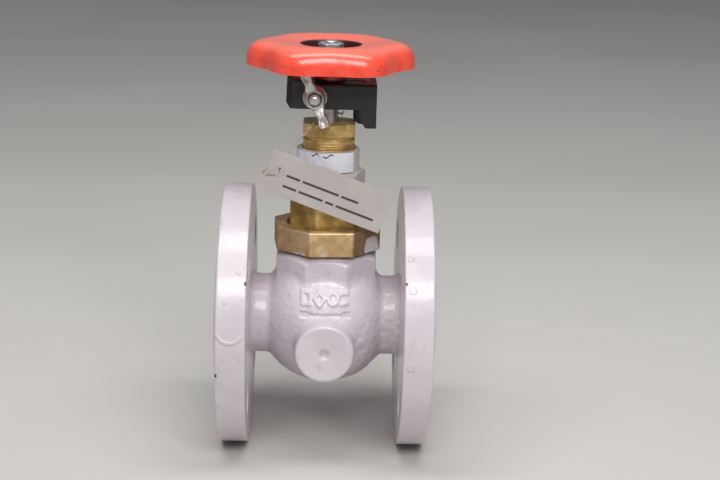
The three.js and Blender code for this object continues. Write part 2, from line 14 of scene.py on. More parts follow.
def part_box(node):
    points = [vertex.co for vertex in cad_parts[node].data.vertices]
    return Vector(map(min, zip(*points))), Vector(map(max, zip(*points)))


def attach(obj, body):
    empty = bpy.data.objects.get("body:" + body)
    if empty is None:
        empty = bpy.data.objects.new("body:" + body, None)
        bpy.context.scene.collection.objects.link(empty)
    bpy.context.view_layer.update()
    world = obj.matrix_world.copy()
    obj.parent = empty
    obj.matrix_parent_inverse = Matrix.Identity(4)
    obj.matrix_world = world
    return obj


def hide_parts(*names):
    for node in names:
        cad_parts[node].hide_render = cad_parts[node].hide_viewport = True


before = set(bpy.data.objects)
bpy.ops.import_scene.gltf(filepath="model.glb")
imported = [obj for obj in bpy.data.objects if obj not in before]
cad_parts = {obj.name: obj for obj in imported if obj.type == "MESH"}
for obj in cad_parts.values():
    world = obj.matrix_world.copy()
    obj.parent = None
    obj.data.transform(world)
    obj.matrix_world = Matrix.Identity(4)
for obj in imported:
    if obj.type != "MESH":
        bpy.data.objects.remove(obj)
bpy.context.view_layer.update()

MM = 0.001
TAU = 2 * math.pi


def node_box(name):
    """Lowest and highest corner of a CAD node, in millimetres."""
    low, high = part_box(name)
    return low / MM, high / MM


def placed(name, data):
    """A new object in the scene."""
    thing = bpy.data.objects.new(name, data)
    bpy.context.scene.collection.objects.link(thing)
    return thing


# ---- camera ----


def make_camera():
    """The camera that the reference view was taken with: low, in front and a little above."""
    yaw, pitch, roll = -0.0243, 0.2550, 0.0288
    level = math.cos(pitch)
    ahead = Vector((-math.sin(yaw) * level, math.cos(yaw) * level, -math.sin(pitch)))
    right = Vector((math.cos(yaw), math.sin(yaw), 0))
    up = right.cross(ahead)
    tilted_right = math.cos(roll) * right + math.sin(roll) * up
    tilted_up = -math.sin(roll) * right + math.cos(roll) * up
    turn = Matrix((tilted_right, tilted_up, -ahead)).transposed()
    data = bpy.data.cameras.new("camera")
    data.sensor_width = 36
    data.lens = 78.6
    data.clip_start = 0.05
    data.clip_end = 20
    camera = placed("camera", data)
    camera.matrix_world = Matrix.Translation(Vector((-1.6, -673.7, 267.4)) * MM) @ turn.to_4x4()
    bpy.context.scene.camera = camera


make_camera()

# ---- sizes, from the frame ----

_, body_high = node_box("valve_body")
FLANGE_RADIUS = body_high.y
AXIS_Z = FLANGE_RADIUS
FACE = body_high.x
RAISED_FACE_RADIUS = 34
RAISED_FACE_HEIGHT = 2
FLANGE_FRONT = FACE - RAISED_FACE_HEIGHT
FLANGE_BACK = FLANGE_FRONT - 12.7
BOLT_CIRCLE_RADIUS = 42.5
BOLT_HOLE_RADIUS = 7
BORE_RADIUS = 12.5
GLOBE_RADIUS = 30
NECK_RADIUS = 17.5
WALL = 4.8
SPIGOT_RADIUS = 19
BONNET_BORE_RADIUS = 15.5
SEAT_RING_RADIUS = 11
COLLAR_RADIUS = 23.6
COLLAR_TOP = 88.3
SPIGOT_TOP = 93.2
BOSS_RADIUS = 12.5
BOSS_REACH = 42
BOSS_Z = 52

nut_low, nut_high = node_box("union_nut")
bonnet_low, bonnet_high = node_box("bonnet")
gland_low, gland_high = node_box("gland_nut")
label_low, label_high = node_box("label_sleeve")
wheel_low, wheel_high = node_box("handwheel")
stem_low, stem_high = node_box("stem")
wheel_nut_low, wheel_nut_high = node_box("wheel_nut")
front_low, front_high = node_box("lock_clamp_front")
rear_low, rear_high = node_box("lock_clamp_rear")
bolt_low, bolt_high = node_box("clamp_bolt")
pin_low, pin_high = node_box("clamp_hinge_pin")
washer_low, washer_high = node_box("clamp_washer")
wing_low, wing_high = node_box("wing_nut")
tag_low, tag_high = node_box("name_tag")

TAG_ANGLE = math.radians(20.2)
BOLT_X = (washer_low.x + washer_high.x) / 2
BOLT_Z = (washer_low.z + washer_high.z) / 2
STEM_RADIUS = 3.8

# ---- mesh making ----


def mesh_of(name, verts, faces):
    """A mesh from points in millimetres."""
    mesh = bpy.data.meshes.new(name)
    mesh.from_pydata((np.asarray(verts, float) * MM).tolist(), [], [tuple(face) for face in faces])
    return mesh


def add_object(name, verts, faces, material, body, slot, node=None, sharp=None):
    """A closed mesh from millimetre points, riding on a body and standing for a CAD node."""
    return add_mesh(name, mesh_of(name, verts, faces), material, body, node, sharp)


def add_mesh(name, mesh, material, body, node=None, sharp=None):
    """Edges that turn by more than sharp degrees stay crisp."""
    clean(mesh, sharp)
    mesh.materials.clear()
    mesh.materials.append(material)
    thing = placed(name, mesh)
    if sharp is not None:
        thing.modifiers.new("even_normals", "WEIGHTED_NORMAL").keep_sharp = True
    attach(thing, body)
    if node:
        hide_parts(node)
    return thing


def clean(mesh, sharp=None):
    """Merges doubled points, turns every face outwards and marks the crisp edges."""
    work = bmesh.new()
    work.from_mesh(mesh)
    bmesh.ops.remove_doubles(work, verts=work.verts, dist=1e-6)
    bmesh.ops.dissolve_degenerate(work, edges=work.edges, dist=1e-7)
    bmesh.ops.recalc_face_normals(work, faces=work.faces)
    for face in work.faces:
        face.smooth = True
    for edge in work.edges:
        if sharp is not None and len(edge.link_faces) == 2:
            edge.smooth = edge.calc_face_angle(0) < math.radians(sharp)
    work.to_mesh(mesh)
    work.free()


def evaluated_mesh(thing):
    """The object's mesh with its modifiers applied, as a new mesh."""
    bpy.context.view_layer.update()
    graph = bpy.context.evaluated_depsgraph_get()
    return bpy.data.meshes.new_from_object(thing.evaluated_get(graph))


def cut_from(thing, tools):
    """Cuts closed tool meshes, given as (points, faces) in millimetres, out of an object."""
    for verts, faces in tools:
        mesh = mesh_of("tool", verts, faces)
        clean(mesh)
        step = thing.modifiers.new("cut", "BOOLEAN")
        step.object = placed("tool", mesh)
        step.operation = "DIFFERENCE"
        step.solver = "EXACT"
        result = evaluated_mesh(thing)
        bpy.data.objects.remove(step.object)
        thing.modifiers.remove(step)
        thing.data = result


def arc(before, here, after, fillet, steps=4):
    """Points that round off the corner at here, within half of each of its sides."""
    back, ahead = before - here, after - here
    reach = min(fillet, 0.49 * np.linalg.norm(back), 0.49 * np.linalg.norm(ahead))
    start = here + back / np.linalg.norm(back) * reach
    end = here + ahead / np.linalg.norm(ahead) * reach
    shares = [k / steps for k in range(steps + 1)]
    return [(1 - t) ** 2 * start + 2 * t * (1 - t) * here + t * t * end for t in shares]


def rounded(corners, steps=4):
    """A profile whose corners are arcs. Each corner is (radius, height, fillet)."""
    places = [np.array(corner[:2], float) for corner in corners]
    points = []
    for i, (_, _, fillet) in enumerate(corners):
        if fillet <= 0 or i in (0, len(corners) - 1):
            points.append(places[i])
        else:
            points += arc(places[i - 1], places[i], places[i + 1], fillet, steps)
    return points


def divided(points, longest):
    """The same profile with no stretch longer than longest."""
    out = [points[0]]
    for before, after in zip(points, points[1:]):
        pieces = max(1, math.ceil(np.linalg.norm(after - before) / longest))
        for k in range(1, pieces + 1):
            out.append(before + (after - before) * k / pieces)
    return out


def grid_faces(rows, columns):
    """Four-sided faces between rows of points whose last column meets the first."""
    faces = []
    for i in range(0, (rows - 1) * columns, columns):
        for j in range(columns):
            k = (j + 1) % columns
            faces.append((i + j, i + k, i + columns + k, i + columns + j))
    return faces


def turned(profile, segments, reshape=None):
    """Points and faces of a profile turned about +Z. reshape(radius, height, angle) may move
    the radius. Angles count from the front (-Y) towards +X."""
    profile = np.array(profile, float)
    radius = np.repeat(profile[:, 0][:, None], segments, 1)
    height = np.repeat(profile[:, 1][:, None], segments, 1)
    angle = np.repeat((np.arange(segments) * TAU / segments)[None, :], len(profile), 0)
    if reshape is not None:
        radius = reshape(radius, height, angle)
    verts = np.stack([radius * np.sin(angle), -radius * np.cos(angle), height], -1).reshape(-1, 3)
    return verts, grid_faces(len(profile), segments)


def soft_min(a, b, k):
    h = np.clip(0.5 + 0.5 * (b - a) / k, 0, 1)
    return b * (1 - h) + a * h - k * h * (1 - h)


def soft_max(a, b, k):
    return -soft_min(-a, -b, k)


def to_front(verts):
    """Moves points made about +Z so that +Z points to the front (-Y) along the clamp's bolt."""
    verts = np.asarray(verts, float)
    return np.stack([verts[:, 0] + BOLT_X, -verts[:, 2], verts[:, 1] + BOLT_Z], -1)


def surface_of(field, low, high, step):
    """The surface where field(x, y, z) is zero, as points and four-sided faces."""
    axes = [np.arange(a - step, b + 2 * step, step, dtype=np.float32) for a, b in zip(low, high)]
    grid = np.meshgrid(*axes, indexing="ij")
    value = field(*grid).astype(np.float32)
    inside = value < 0
    corners = [(i, j, k) for i in (0, 1) for j in (0, 1) for k in (0, 1)]
    shape = [n - 1 for n in value.shape]

    def at(array, corner):
        i, j, k = corner
        return array[i:i + shape[0], j:j + shape[1], k:k + shape[2]]

    count = sum(at(inside, c).astype(np.int8) for c in corners)
    mixed = (count > 0) & (count < 8)
    cell_number = np.full(shape, -1, np.int64)
    cells = np.argwhere(mixed)
    cell_number[mixed] = np.arange(len(cells))
    total = np.zeros((len(cells), 3))
    hits = np.zeros(len(cells))
    corner_value = {c: at(value, c)[mixed] for c in corners}
    for a in corners:
        for axis in range(3):
            if a[axis]:
                continue
            b = tuple(v + (n == axis) for n, v in enumerate(a))
            va, vb = corner_value[a], corner_value[b]
            crossed = (va < 0) != (vb < 0)
            share = np.where(crossed, va / np.where(crossed, va - vb, 1), 0)
            place = np.array(a, float)[None, :] + share[:, None] * (np.arange(3) == axis)
            total += place * crossed[:, None]
            hits += crossed
    origin = np.array([axis[0] for axis in axes])
    verts = origin + (cells + total / hits[:, None]) * step
    faces = []
    for axis in range(3):
        others = [n for n in range(3) if n != axis]
        lower = [slice(1, -1)] * 3
        lower[axis] = slice(0, -1)
        upper = [slice(1, -1)] * 3
        upper[axis] = slice(1, None)
        first, second = inside[tuple(lower)], inside[tuple(upper)]
        for flips, leaving in ((first & ~second, True), (~first & second, False)):
            place = np.argwhere(flips)
            place[:, others] += 1
            ring = []
            for du, dv in ((0, 0), (1, 0), (1, 1), (0, 1)):
                cell = place.copy()
                cell[:, others[0]] -= du
                cell[:, others[1]] -= dv
                ring.append(cell_number[cell[:, 0], cell[:, 1], cell[:, 2]])
            if leaving != (axis == 1):
                ring.reverse()
            faces.append(np.stack(ring, -1))
    return verts, np.concatenate(faces)


def add_surface(name, field, low, high, step, *labels):
    """The object whose surface is where the field is zero, found in cells step mm wide."""
    verts, faces = surface_of(field, low, high, step)
    add_object(name, verts, faces, *labels)


def ease(value, low, high):
    t = np.clip((value - low) / (high - low), 0, 1)
    return t * t * (3 - 2 * t)


# ---- materials ----


class Value:
    """A value that varies over a surface, with the usual arithmetic. a | b is the larger one."""

    def __init__(self, finish, socket):
        self.finish = finish
        self.socket = socket

    def __add__(self, other):
        return self.finish.math("ADD", self, other)

    def __sub__(self, other):
        return self.finish.math("SUBTRACT", self, other)

    def __rsub__(self, other):
        return self.finish.math("SUBTRACT", other, self)

    def __mul__(self, other):
        return self.finish.math("MULTIPLY", self, other)

    def __or__(self, other):
        return self.finish.math("MAXIMUM", self, other)

    def __abs__(self):
        return self.finish.math("ABSOLUTE", self)


class Finish:
    """A node material under construction, with the object's own coordinates as its space."""

    def __init__(self, name, **surface):
        self.material = bpy.data.materials.new(name)
        self.material.use_nodes = True
        self.nodes = self.material.node_tree.nodes
        self.links = self.material.node_tree.links
        self.shader = self.nodes["Principled BSDF"]
        self.place = Value(self, self.nodes.new("ShaderNodeTexCoord").outputs["Object"])
        self.parts = None
        self.bumped = None
        self.made = {}
        for socket, value in surface.items():
            self.shader.inputs[socket.replace("_", " ")].default_value = value

    def feed(self, socket, value):
        """Sets a socket from a Value, a number or a colour."""
        if isinstance(value, Value):
            self.links.new(value.socket, socket)
        else:
            socket.default_value = value

    def node(self, kind, inputs, output=0, **settings):
        """The output of a new node, as a Value."""
        step = self.nodes.new("ShaderNode" + kind)
        for name, setting in settings.items():
            setattr(step, name, setting)
        for socket, value in inputs.items():
            self.feed(step.inputs[socket], value)
        return Value(self, step.outputs[output])

    def math(self, operation, first, second=0.0, clamp=False):
        return self.node("Math", {0: first, 1: second}, operation=operation, use_clamp=clamp)

    def stretched(self, scale, turn=(0, 0, 0)):
        """The coordinates, turned and then scaled along each axis."""
        return self.node("Mapping", {"Rotation": turn, "Scale": scale, "Vector": self.place})

    def noise(self, size_mm, detail, roughness, seed=0, where=None):
        """Noise whose lumps are about size_mm across. The same call gives the same node."""
        key = (size_mm, detail, roughness, seed, where)
        if key not in self.made:
            inputs = {"W": seed, "Scale": 1 / (size_mm * MM), "Detail": detail, "Roughness": roughness}
            inputs["Vector"] = where or self.place
            self.made[key] = self.node("TexNoise", inputs, "Fac", noise_dimensions="4D")
        return self.made[key]

    def cells(self, size_mm):
        """The distance from the middle of cells that are about size_mm across."""
        inputs = {"Scale": 1 / (size_mm * MM), "Vector": self.place}
        return self.node("TexVoronoi", inputs, "Distance")

    def window(self, value, low, high):
        """0 below low, 1 above high, smooth between. With low above high it falls instead."""
        ends = (low, high, 0.0, 1.0) if low < high else (high, low, 1.0, 0.0)
        inputs = dict(zip(("From Min", "From Max", "To Min", "To Max"), ends), Value=value)
        return self.node("MapRange", inputs, interpolation_type="SMOOTHSTEP")

    def blend(self, share, first, second):
        inputs = {"Factor": share, "A": first, "B": second}
        return self.node("Mix", inputs, "Result", data_type="RGBA")

    def axis(self, name):
        """One coordinate, in millimetres."""
        if self.parts is None:
            self.parts = self.nodes.new("ShaderNodeSeparateXYZ")
            self.feed(self.parts.inputs[0], self.place)
        return Value(self, self.parts.outputs[name]) * (1 / MM)

    def length(self, first, second):
        """The distance from an axis, from two coordinates in millimetres."""
        return self.math("SQRT", first * first + second * second)

    def spot(self, x, y, z, size, ragged=0.35, grain=1.2):
        """1 inside a ragged spot at a point in millimetres, 0 outside it."""
        across = self.length(self.axis("X") - x, self.axis("Y") - y)
        far = self.length(across, self.axis("Z") - z)
        uneven = self.noise(grain, 3, 0.6) * (size * ragged * 2)
        return self.window(far + uneven, size * (1.1 + ragged), size * (0.85 + ragged))

    def bump(self, height, depth_mm):
        """Adds a bump whose full height is depth_mm, on top of the bumps made before it."""
        inputs = {"Strength": 1.0, "Distance": depth_mm * MM, "Height": height}
        if self.bumped:
            inputs["Normal"] = self.bumped
        self.bumped = self.node("Bump", inputs)

    def done(self, color, roughness, metallic=None):
        surface = {"Base Color": color, "Roughness": roughness, "Metallic": metallic}
        surface["Normal"] = self.bumped
        for socket, value in surface.items():
            if value is not None:
                self.feed(self.shader.inputs[socket], value)
        return self.material


def tint(r, g, b):
    """A linear colour from the 0-255 values that a screen shows."""
    return tuple((v / 255) ** 2.2 for v in (r, g, b)) + (1.0,)


# Places where the paint is knocked off: x, y, z and size in millimetres.
PAINT_CHIPS = (
    (-45.5, -56.6, 46.8, 1.1),
    (-45.5, -52.6, 27.0, 1.2),
    (-45.5, -51.4, 24.6, 1.0),
    (-33.0, -50.5, 85.0, 0.9),
    (33.4, -50.2, 86.4, 0.8),
    (39.0, 54.0, 75.0, 1.8),
    (-40.0, 50.0, 84.5, 1.6),
)

# Blisters in the paint, in the same way.
BLISTERS = (
    (35.0, -43.4, 95.2, 1.1),
    (36.2, -51.2, 83.8, 1.6),
    (36.0, -57.0, 52.0, 1.7),
    (-36.2, -48.0, 89.0, 0.9),
    (-41.5, -53.6, 77.5, 0.8),
)


def cast_paint():
    """Lilac-grey satin paint over cast iron: soft lumps, pits, rubbed edges and a few chips."""
    finish = Finish("cast_paint", Coat_Weight=0.4, Coat_Roughness=0.13)
    broad = finish.noise(24, 3, 0.5, 2)
    fine = finish.noise(1.6, 4, 0.6, 5)
    tone = finish.blend(finish.window(broad, 0.35, 0.65), tint(197, 187, 195), tint(207, 198, 204))
    patches = finish.window(finish.noise(5, 4, 0.6, 9), 0.56, 0.72)
    tone = finish.blend(patches, tone, tint(188, 178, 186))
    from_axis = finish.length(finish.axis("Y"), finish.axis("Z") - AXIS_Z)
    rim = finish.window(from_axis, FLANGE_RADIUS - 1.2, FLANGE_RADIUS - 0.5)
    worn = finish.window(finish.noise(4.5, 5, 0.65, 13), 0.66, 0.7)
    along = abs(finish.axis("X"))
    edge = finish.window(abs(along - FLANGE_FRONT), 1.6, 0.9)
    back_edge = finish.window(abs(along - FLANGE_BACK), 1.6, 0.9)
    chips = rim * (edge | back_edge) * worn
    pits = finish.window(finish.cells(5.5), 0.16, 0.08)
    pits = pits * finish.window(finish.noise(14, 2, 0.5, 21), 0.64, 0.7)
    bare = chips | pits * 0.4
    for x, y, z, size in PAINT_CHIPS:
        bare = bare | finish.spot(x, y, z, size)
    color = finish.blend(bare, tone, tint(74, 66, 68))
    grime = finish.window(finish.axis("Z"), 9, 0.5) * finish.noise(3, 4, 0.6, 31)
    color = finish.blend(grime * 0.5, color, tint(120, 110, 108))
    rough = finish.math("ADD", fine * 0.22 + 0.27, bare * 0.35, clamp=True)
    depth = finish.window(from_axis, 40, 33) * 0.75 + 0.25
    finish.bump(finish.noise(2.6, 4, 0.6, 7) * depth, 0.42)
    finish.bump(finish.noise(0.9, 3, 0.6, 3), 0.07)
    for x, y, z, size in BLISTERS:
        finish.bump(finish.spot(x, y, z, size), 0.3)
    from_run = finish.length(finish.axis("X") + 39.4, finish.axis("Z") - 66.5)
    run = finish.window(abs(from_run - 5.4), 1.3, 0.1)
    run = run * finish.window(finish.axis("Z"), 66, 63)
    finish.bump(run * finish.window(finish.axis("Y"), -50, -54), 0.35)
    finish.bump(1.0 - bare, 0.22)
    return finish.done(color, rough)


def brass(name, bright, dark, grain, paint=None, side_shade=None):
    """Dulled brass: turning marks round the stem, and painted shade on the sides and overspray where
    told.
    """
    finish = Finish(name, Metallic=0.6)
    stain = finish.noise(6, 4, 0.6, 4)
    streaks = finish.noise(0.8, 2, 0.5, 8, where=finish.stretched((0.12, 0.12, 1.6)))
    color = finish.blend(finish.window(stain, 0.36, 0.66), bright, dark)
    color = finish.blend(finish.window(streaks, 0.5, 0.8) * 0.35, color, dark)
    spots = finish.window(finish.noise(1.4, 3, 0.7, 17), 0.7, 0.76)
    color = finish.blend(spots * 0.6, color, tint(92, 66, 34))
    # Painted shade: brown on the facets that turn away from the light, where told.
    if side_shade is not None:
        color = finish.blend(side_shade(finish), color, tint(96, 66, 36))
    rough = finish.noise(1.1, 4, 0.65, 6) * 0.28 + 0.3
    finish.bump(streaks, 0.05 * grain)
    finish.bump(finish.noise(2.4, 4, 0.6, 12), 0.1 * grain)
    metallic = None
    if paint is not None:
        covered = paint(finish)
        color = finish.blend(covered, color, tint(187, 179, 178))
        rough = finish.blend(covered, rough, (0.45, 0.45, 0.45, 1))
        metallic = (1.0 - covered) * 0.6
    return finish.done(color, rough, metallic)


def overspray_on_bonnet(finish):
    """Grey paint on the collar and on the top of the hexagon's right-hand side."""
    ragged = finish.noise(3, 4, 0.6, 40) * 5.0
    height = finish.axis("Z") + ragged
    right = finish.axis("X") + ragged
    collar = finish.window(height, 125.6, 126.6)
    hexagon = finish.window(height, 117.5, 119.5) * finish.window(right, 8.5, 10.5)
    return collar | hexagon


def overspray_on_nut(finish):
    """A lilac patch on the lower right corner of the union nut and thin spots along its base."""
    patch = finish.spot(20.5, -12.5, 91.8, 5.2, ragged=0.3, grain=4)
    low = finish.window(finish.axis("Z"), 91.6, 90.4)
    freckles = low * finish.window(finish.noise(3.2, 4, 0.6, 41), 0.56, 0.62)
    return patch | freckles


def painted_shade_on_nut(finish):
    """Painted shade in brown on the sides of the union nut, heavier on the right, where the facets turn
    away from the light; the front is left clear.
    """
    uneven = finish.noise(2.5, 4, 0.6, 43) * 1.6
    across = finish.axis("X") + uneven
    left = finish.window(across, -6.2, -7.0) * 0.28
    right = finish.window(across, 11.8, 12.8) * 0.6
    side = finish.window(finish.axis("Z"), 103.3, 102.7)
    return (left | right) * side


def enamel(name, color, darker, coat, roughness, scuffs=()):
    """Enamel with a slightly uneven skin and a few scuffs."""
    finish = Finish(name, Coat_Weight=coat, Coat_Roughness=0.14)
    tone = finish.blend(finish.window(finish.noise(9, 3, 0.5, 2), 0.4, 0.62), color, darker)
    rough = finish.noise(1.5, 3, 0.6, 5) * 0.16 + roughness
    for x, y, z, size in scuffs:
        mark = finish.spot(x, y, z, size, ragged=0.6, grain=0.6)
        tone = finish.blend(mark * 0.6, tone, tint(112, 52, 58))
        rough = rough + mark * 0.3
    return finish, tone, rough


def red_enamel():
    """The handwheel's paint, with a painted highlight on its top and painted shade down in the well
    round the stem.
    """
    bright, deep = tint(241, 82, 62), tint(230, 68, 50)
    finish, tone, rough = enamel("red_enamel", bright, deep, 0.5, 0.24, WHEEL_SCUFFS)
    from_stem = finish.length(finish.axis("X"), finish.axis("Y"))
    # Painted highlight: the upward-facing top is lightened where the overhead light falls on it.
    top_painted_light = finish.window(finish.axis("Z"), 175.5, 179.5)
    tone = finish.blend(top_painted_light * 0.75, tone, tint(255, 128, 108))
    # Painted shade: the recessed well round the stem is darkened where shade falls in it.
    well = finish.window(from_stem, 13.7, 13.3) * finish.window(finish.axis("Z"), 166, 168)
    tone = finish.blend(well * 0.96, tone, tint(30, 5, 5))
    rough = rough + well * 0.3
    finish.bump(finish.noise(4.6, 2, 0.5, 6), 0.22)
    finish.bump(finish.noise(1.6, 2, 0.5, 7), 0.03)
    return finish.done(tone, rough)


def black_enamel():
    finish, tone, rough = enamel("black_enamel", tint(22, 21, 22), tint(13, 12, 13), 0.2, 0.42)
    finish.bump(finish.noise(3.2, 3, 0.5, 6), 0.12)
    finish.bump(finish.noise(0.8, 3, 0.6, 7), 0.04)
    return finish.done(tone, rough)


def plain_metal(name, light, dark, rough_low, grain=0.03, along=(1, 1, 1)):
    """Bare or plated steel with fine streaks, blotches and tiny dents."""
    finish = Finish(name, Metallic=0.7)
    blotch = finish.noise(2.6, 4, 0.6, 2)
    color = finish.blend(finish.window(blotch, 0.35, 0.68), light, dark)
    streaks = finish.noise(0.5, 3, 0.6, 3, where=finish.stretched(along))
    finish.bump(streaks, grain)
    finish.bump(finish.noise(1.6, 3, 0.6, 4), grain * 1.6)
    return finish.done(color, streaks * 0.25 + rough_low)


def plate_grey():
    """Matt grey lacquer on thin sheet, with faint clouding and fine scratches."""
    finish = Finish("plate_grey", Coat_Weight=0.08, Coat_Roughness=0.3)
    cloud = finish.window(finish.noise(14, 3, 0.5, 2), 0.38, 0.62)
    tone = finish.blend(cloud, tint(176, 168, 165), tint(186, 177, 173))
    lengthwise = finish.stretched((0.07, 1, 1.4), (0, TAG_ANGLE, 0))
    scratch = finish.noise(0.5, 3, 0.6, 3, where=lengthwise)
    tone = finish.blend(finish.window(scratch, 0.62, 0.72) * 0.35, tone, tint(205, 196, 192))
    rough = finish.noise(1.2, 3, 0.6, 4) * 0.2 + 0.38
    finish.bump(scratch, 0.012)
    finish.bump(finish.noise(0.35, 2, 0.5, 5), 0.012)
    return finish.done(tone, rough)


def dull(name, light, dark, size_mm, rough=0.75, depth=0.06):
    """A matt surface with a grain, for paper, ink, fibre and packing."""
    finish = Finish(name)
    tone = finish.blend(finish.window(finish.noise(size_mm, 4, 0.6, 2), 0.35, 0.66), light, dark)
    uneven = finish.noise(size_mm / 3, 3, 0.6, 3) * 0.2 + (rough - 0.1)
    finish.bump(finish.noise(size_mm / 4, 4, 0.6, 4), depth)
    return finish.done(tone, uneven)


# Pen strokes on the paper: start, end, height, swing and waviness.
PEN_STROKES = ((-7.4, -4.4, 132.3, 0.5, 2.1), (-2.6, 1.8, 131.9, 0.7, 1.3))


def label_paper():
    """White paper with two wavy pen strokes near its upper edge."""
    finish = Finish("label_paper")
    patches = finish.window(finish.noise(4.0, 4, 0.6, 2), 0.35, 0.66)
    tone = finish.blend(patches, tint(236, 235, 244), tint(222, 221, 231))
    for start, end, height, swing, waves in PEN_STROKES:
        wave = finish.math("SINE", finish.axis("X") * waves)
        middle = wave * swing + height
        away = abs(finish.axis("Z") - middle)
        stroke = finish.window(away, 0.42, 0.22)
        stroke = stroke * finish.window(finish.axis("X"), start, start + 0.4)
        stroke = stroke * finish.window(finish.axis("X"), end + 0.4, end)
        stroke = stroke * finish.window(finish.axis("Y"), -4, -6)
        tone = finish.blend(stroke, tone, tint(58, 56, 84))
    uneven = finish.noise(1.3, 3, 0.6, 3) * 0.2 + 0.52
    finish.bump(finish.noise(1.0, 4, 0.6, 4), 0.03)
    return finish.done(tone, uneven)


# Scuffs on the handwheel: x, y, z and size in millimetres.
WHEEL_SCUFFS = (
    (-19.4, -29.8, 172.4, 0.8),
    (-18.2, -30.6, 171.4, 0.6),
    (19.6, -30.2, 171.8, 0.7),
    (20.6, -29.2, 173.4, 0.5),
    (26.6, -24.6, 176.2, 0.6),
    (-31, 12, 177, 0.9),
)

PAINT = cast_paint()
BONNET_BRASS = brass(
    "bonnet_brass", tint(214, 184, 116), tint(168, 132, 76), 0.7, overspray_on_bonnet)
NUT_BRASS = brass(
    "nut_brass", tint(222, 194, 150), tint(186, 152, 108), 1.0, overspray_on_nut, painted_shade_on_nut)
GLAND_BRASS = brass("gland_brass", tint(218, 186, 124), tint(174, 138, 80), 0.8)
INNER_BRASS = brass("inner_brass", tint(190, 150, 80), tint(150, 108, 50), 0.8)
RED = red_enamel()
BLACK = black_enamel()
STEEL = plain_metal("stem_steel", tint(204, 199, 204), tint(158, 153, 160), 0.22, 0.02, (1, 1, 6))
ZINC = plain_metal("zinc_plate", tint(206, 204, 202), tint(168, 166, 164), 0.22)
ZINC_CAST = plain_metal("zinc_casting", tint(206, 203, 200), tint(160, 157, 154), 0.34, 0.06)
WIRE = plain_metal("wire_steel", tint(214, 206, 192), tint(160, 150, 136), 0.30)
PLATE = plate_grey()
PAPER = label_paper()
INK = dull("ink", tint(74, 68, 70), tint(58, 54, 56), 1.0, 0.6, 0.01)
GASKET = dull("gasket_fibre", tint(70, 84, 68), tint(52, 62, 50), 1.2)
PACKING = dull("packing_graphite", tint(60, 60, 62), tint(40, 40, 42), 0.9)

# ---- valve body ----


def lumps(x, y, z, size, seed):
    """Smooth value noise from -1 to 1 whose lumps are about size mm across."""
    random = np.random.default_rng(seed).uniform(-1, 1, (32, 32, 32)).astype(np.float32)
    cell, share = [], []
    for value in (x, y, z):
        scaled = value / size + 1000
        whole = np.floor(scaled)
        part = scaled - whole
        cell.append(whole.astype(np.int32))
        share.append(part * part * (3 - 2 * part))
    total = 0
    a, b, c = cell
    for i in (0, 1):
        for j in (0, 1):
            for k in (0, 1):
                weight = 1
                for step, part in zip((i, j, k), share):
                    weight = weight * (part if step else 1 - part)
                total = total + weight * random[(a + i) % 32, (b + j) % 32, (c + k) % 32]
    return total


def box_2d(u, v, half_u, half_v):
    du, dv = np.abs(u) - half_u, np.abs(v) - half_v
    return np.hypot(np.maximum(du, 0), np.maximum(dv, 0)) + np.minimum(np.maximum(du, dv), 0)


# How round the casting's inner corners are.
NECK_FILLET, FLANGE_FILLET, COLLAR_FILLET, BOSS_FILLET = 1.3, 3.4, 1.6, 2.2

# The raised marks on the globe's front are plain shapes in a row, over a sunk bar.
MARK_Z = AXIS_Z + 14.6
BAR_Z = AXIS_Z + 7.6
MARK_STROKE = 0.75


def mark_outlines(x, z):
    """Distance to the raised marks, seen from the front."""
    v = z - MARK_Z
    square = np.abs(box_2d(x + 8.2, v, 1.7, 2.3)) - MARK_STROKE
    diamond = np.abs((np.abs(x + 2.6) / 2.3 + np.abs(v) / 2.9 - 1) * 1.8) - MARK_STROKE
    circle = np.abs(np.hypot(x - 3.4, v) - 2.2) - MARK_STROKE
    bars = np.minimum(box_2d(x - 8.2, v - 2, 1.9, 0.8), box_2d(x - 8.2, v + 2, 1.9, 0.8))
    return np.minimum(np.minimum(square, diamond), np.minimum(circle, bars))


def bar_outline(x, z):
    """Distance to the sunk bar with flared ends, seen from the front."""
    flare = ease(np.abs(x), 6.4, 8.2) * 0.75
    return np.maximum(np.abs(z - BAR_Z) - 0.6 - flare, np.abs(x) - 10.8)


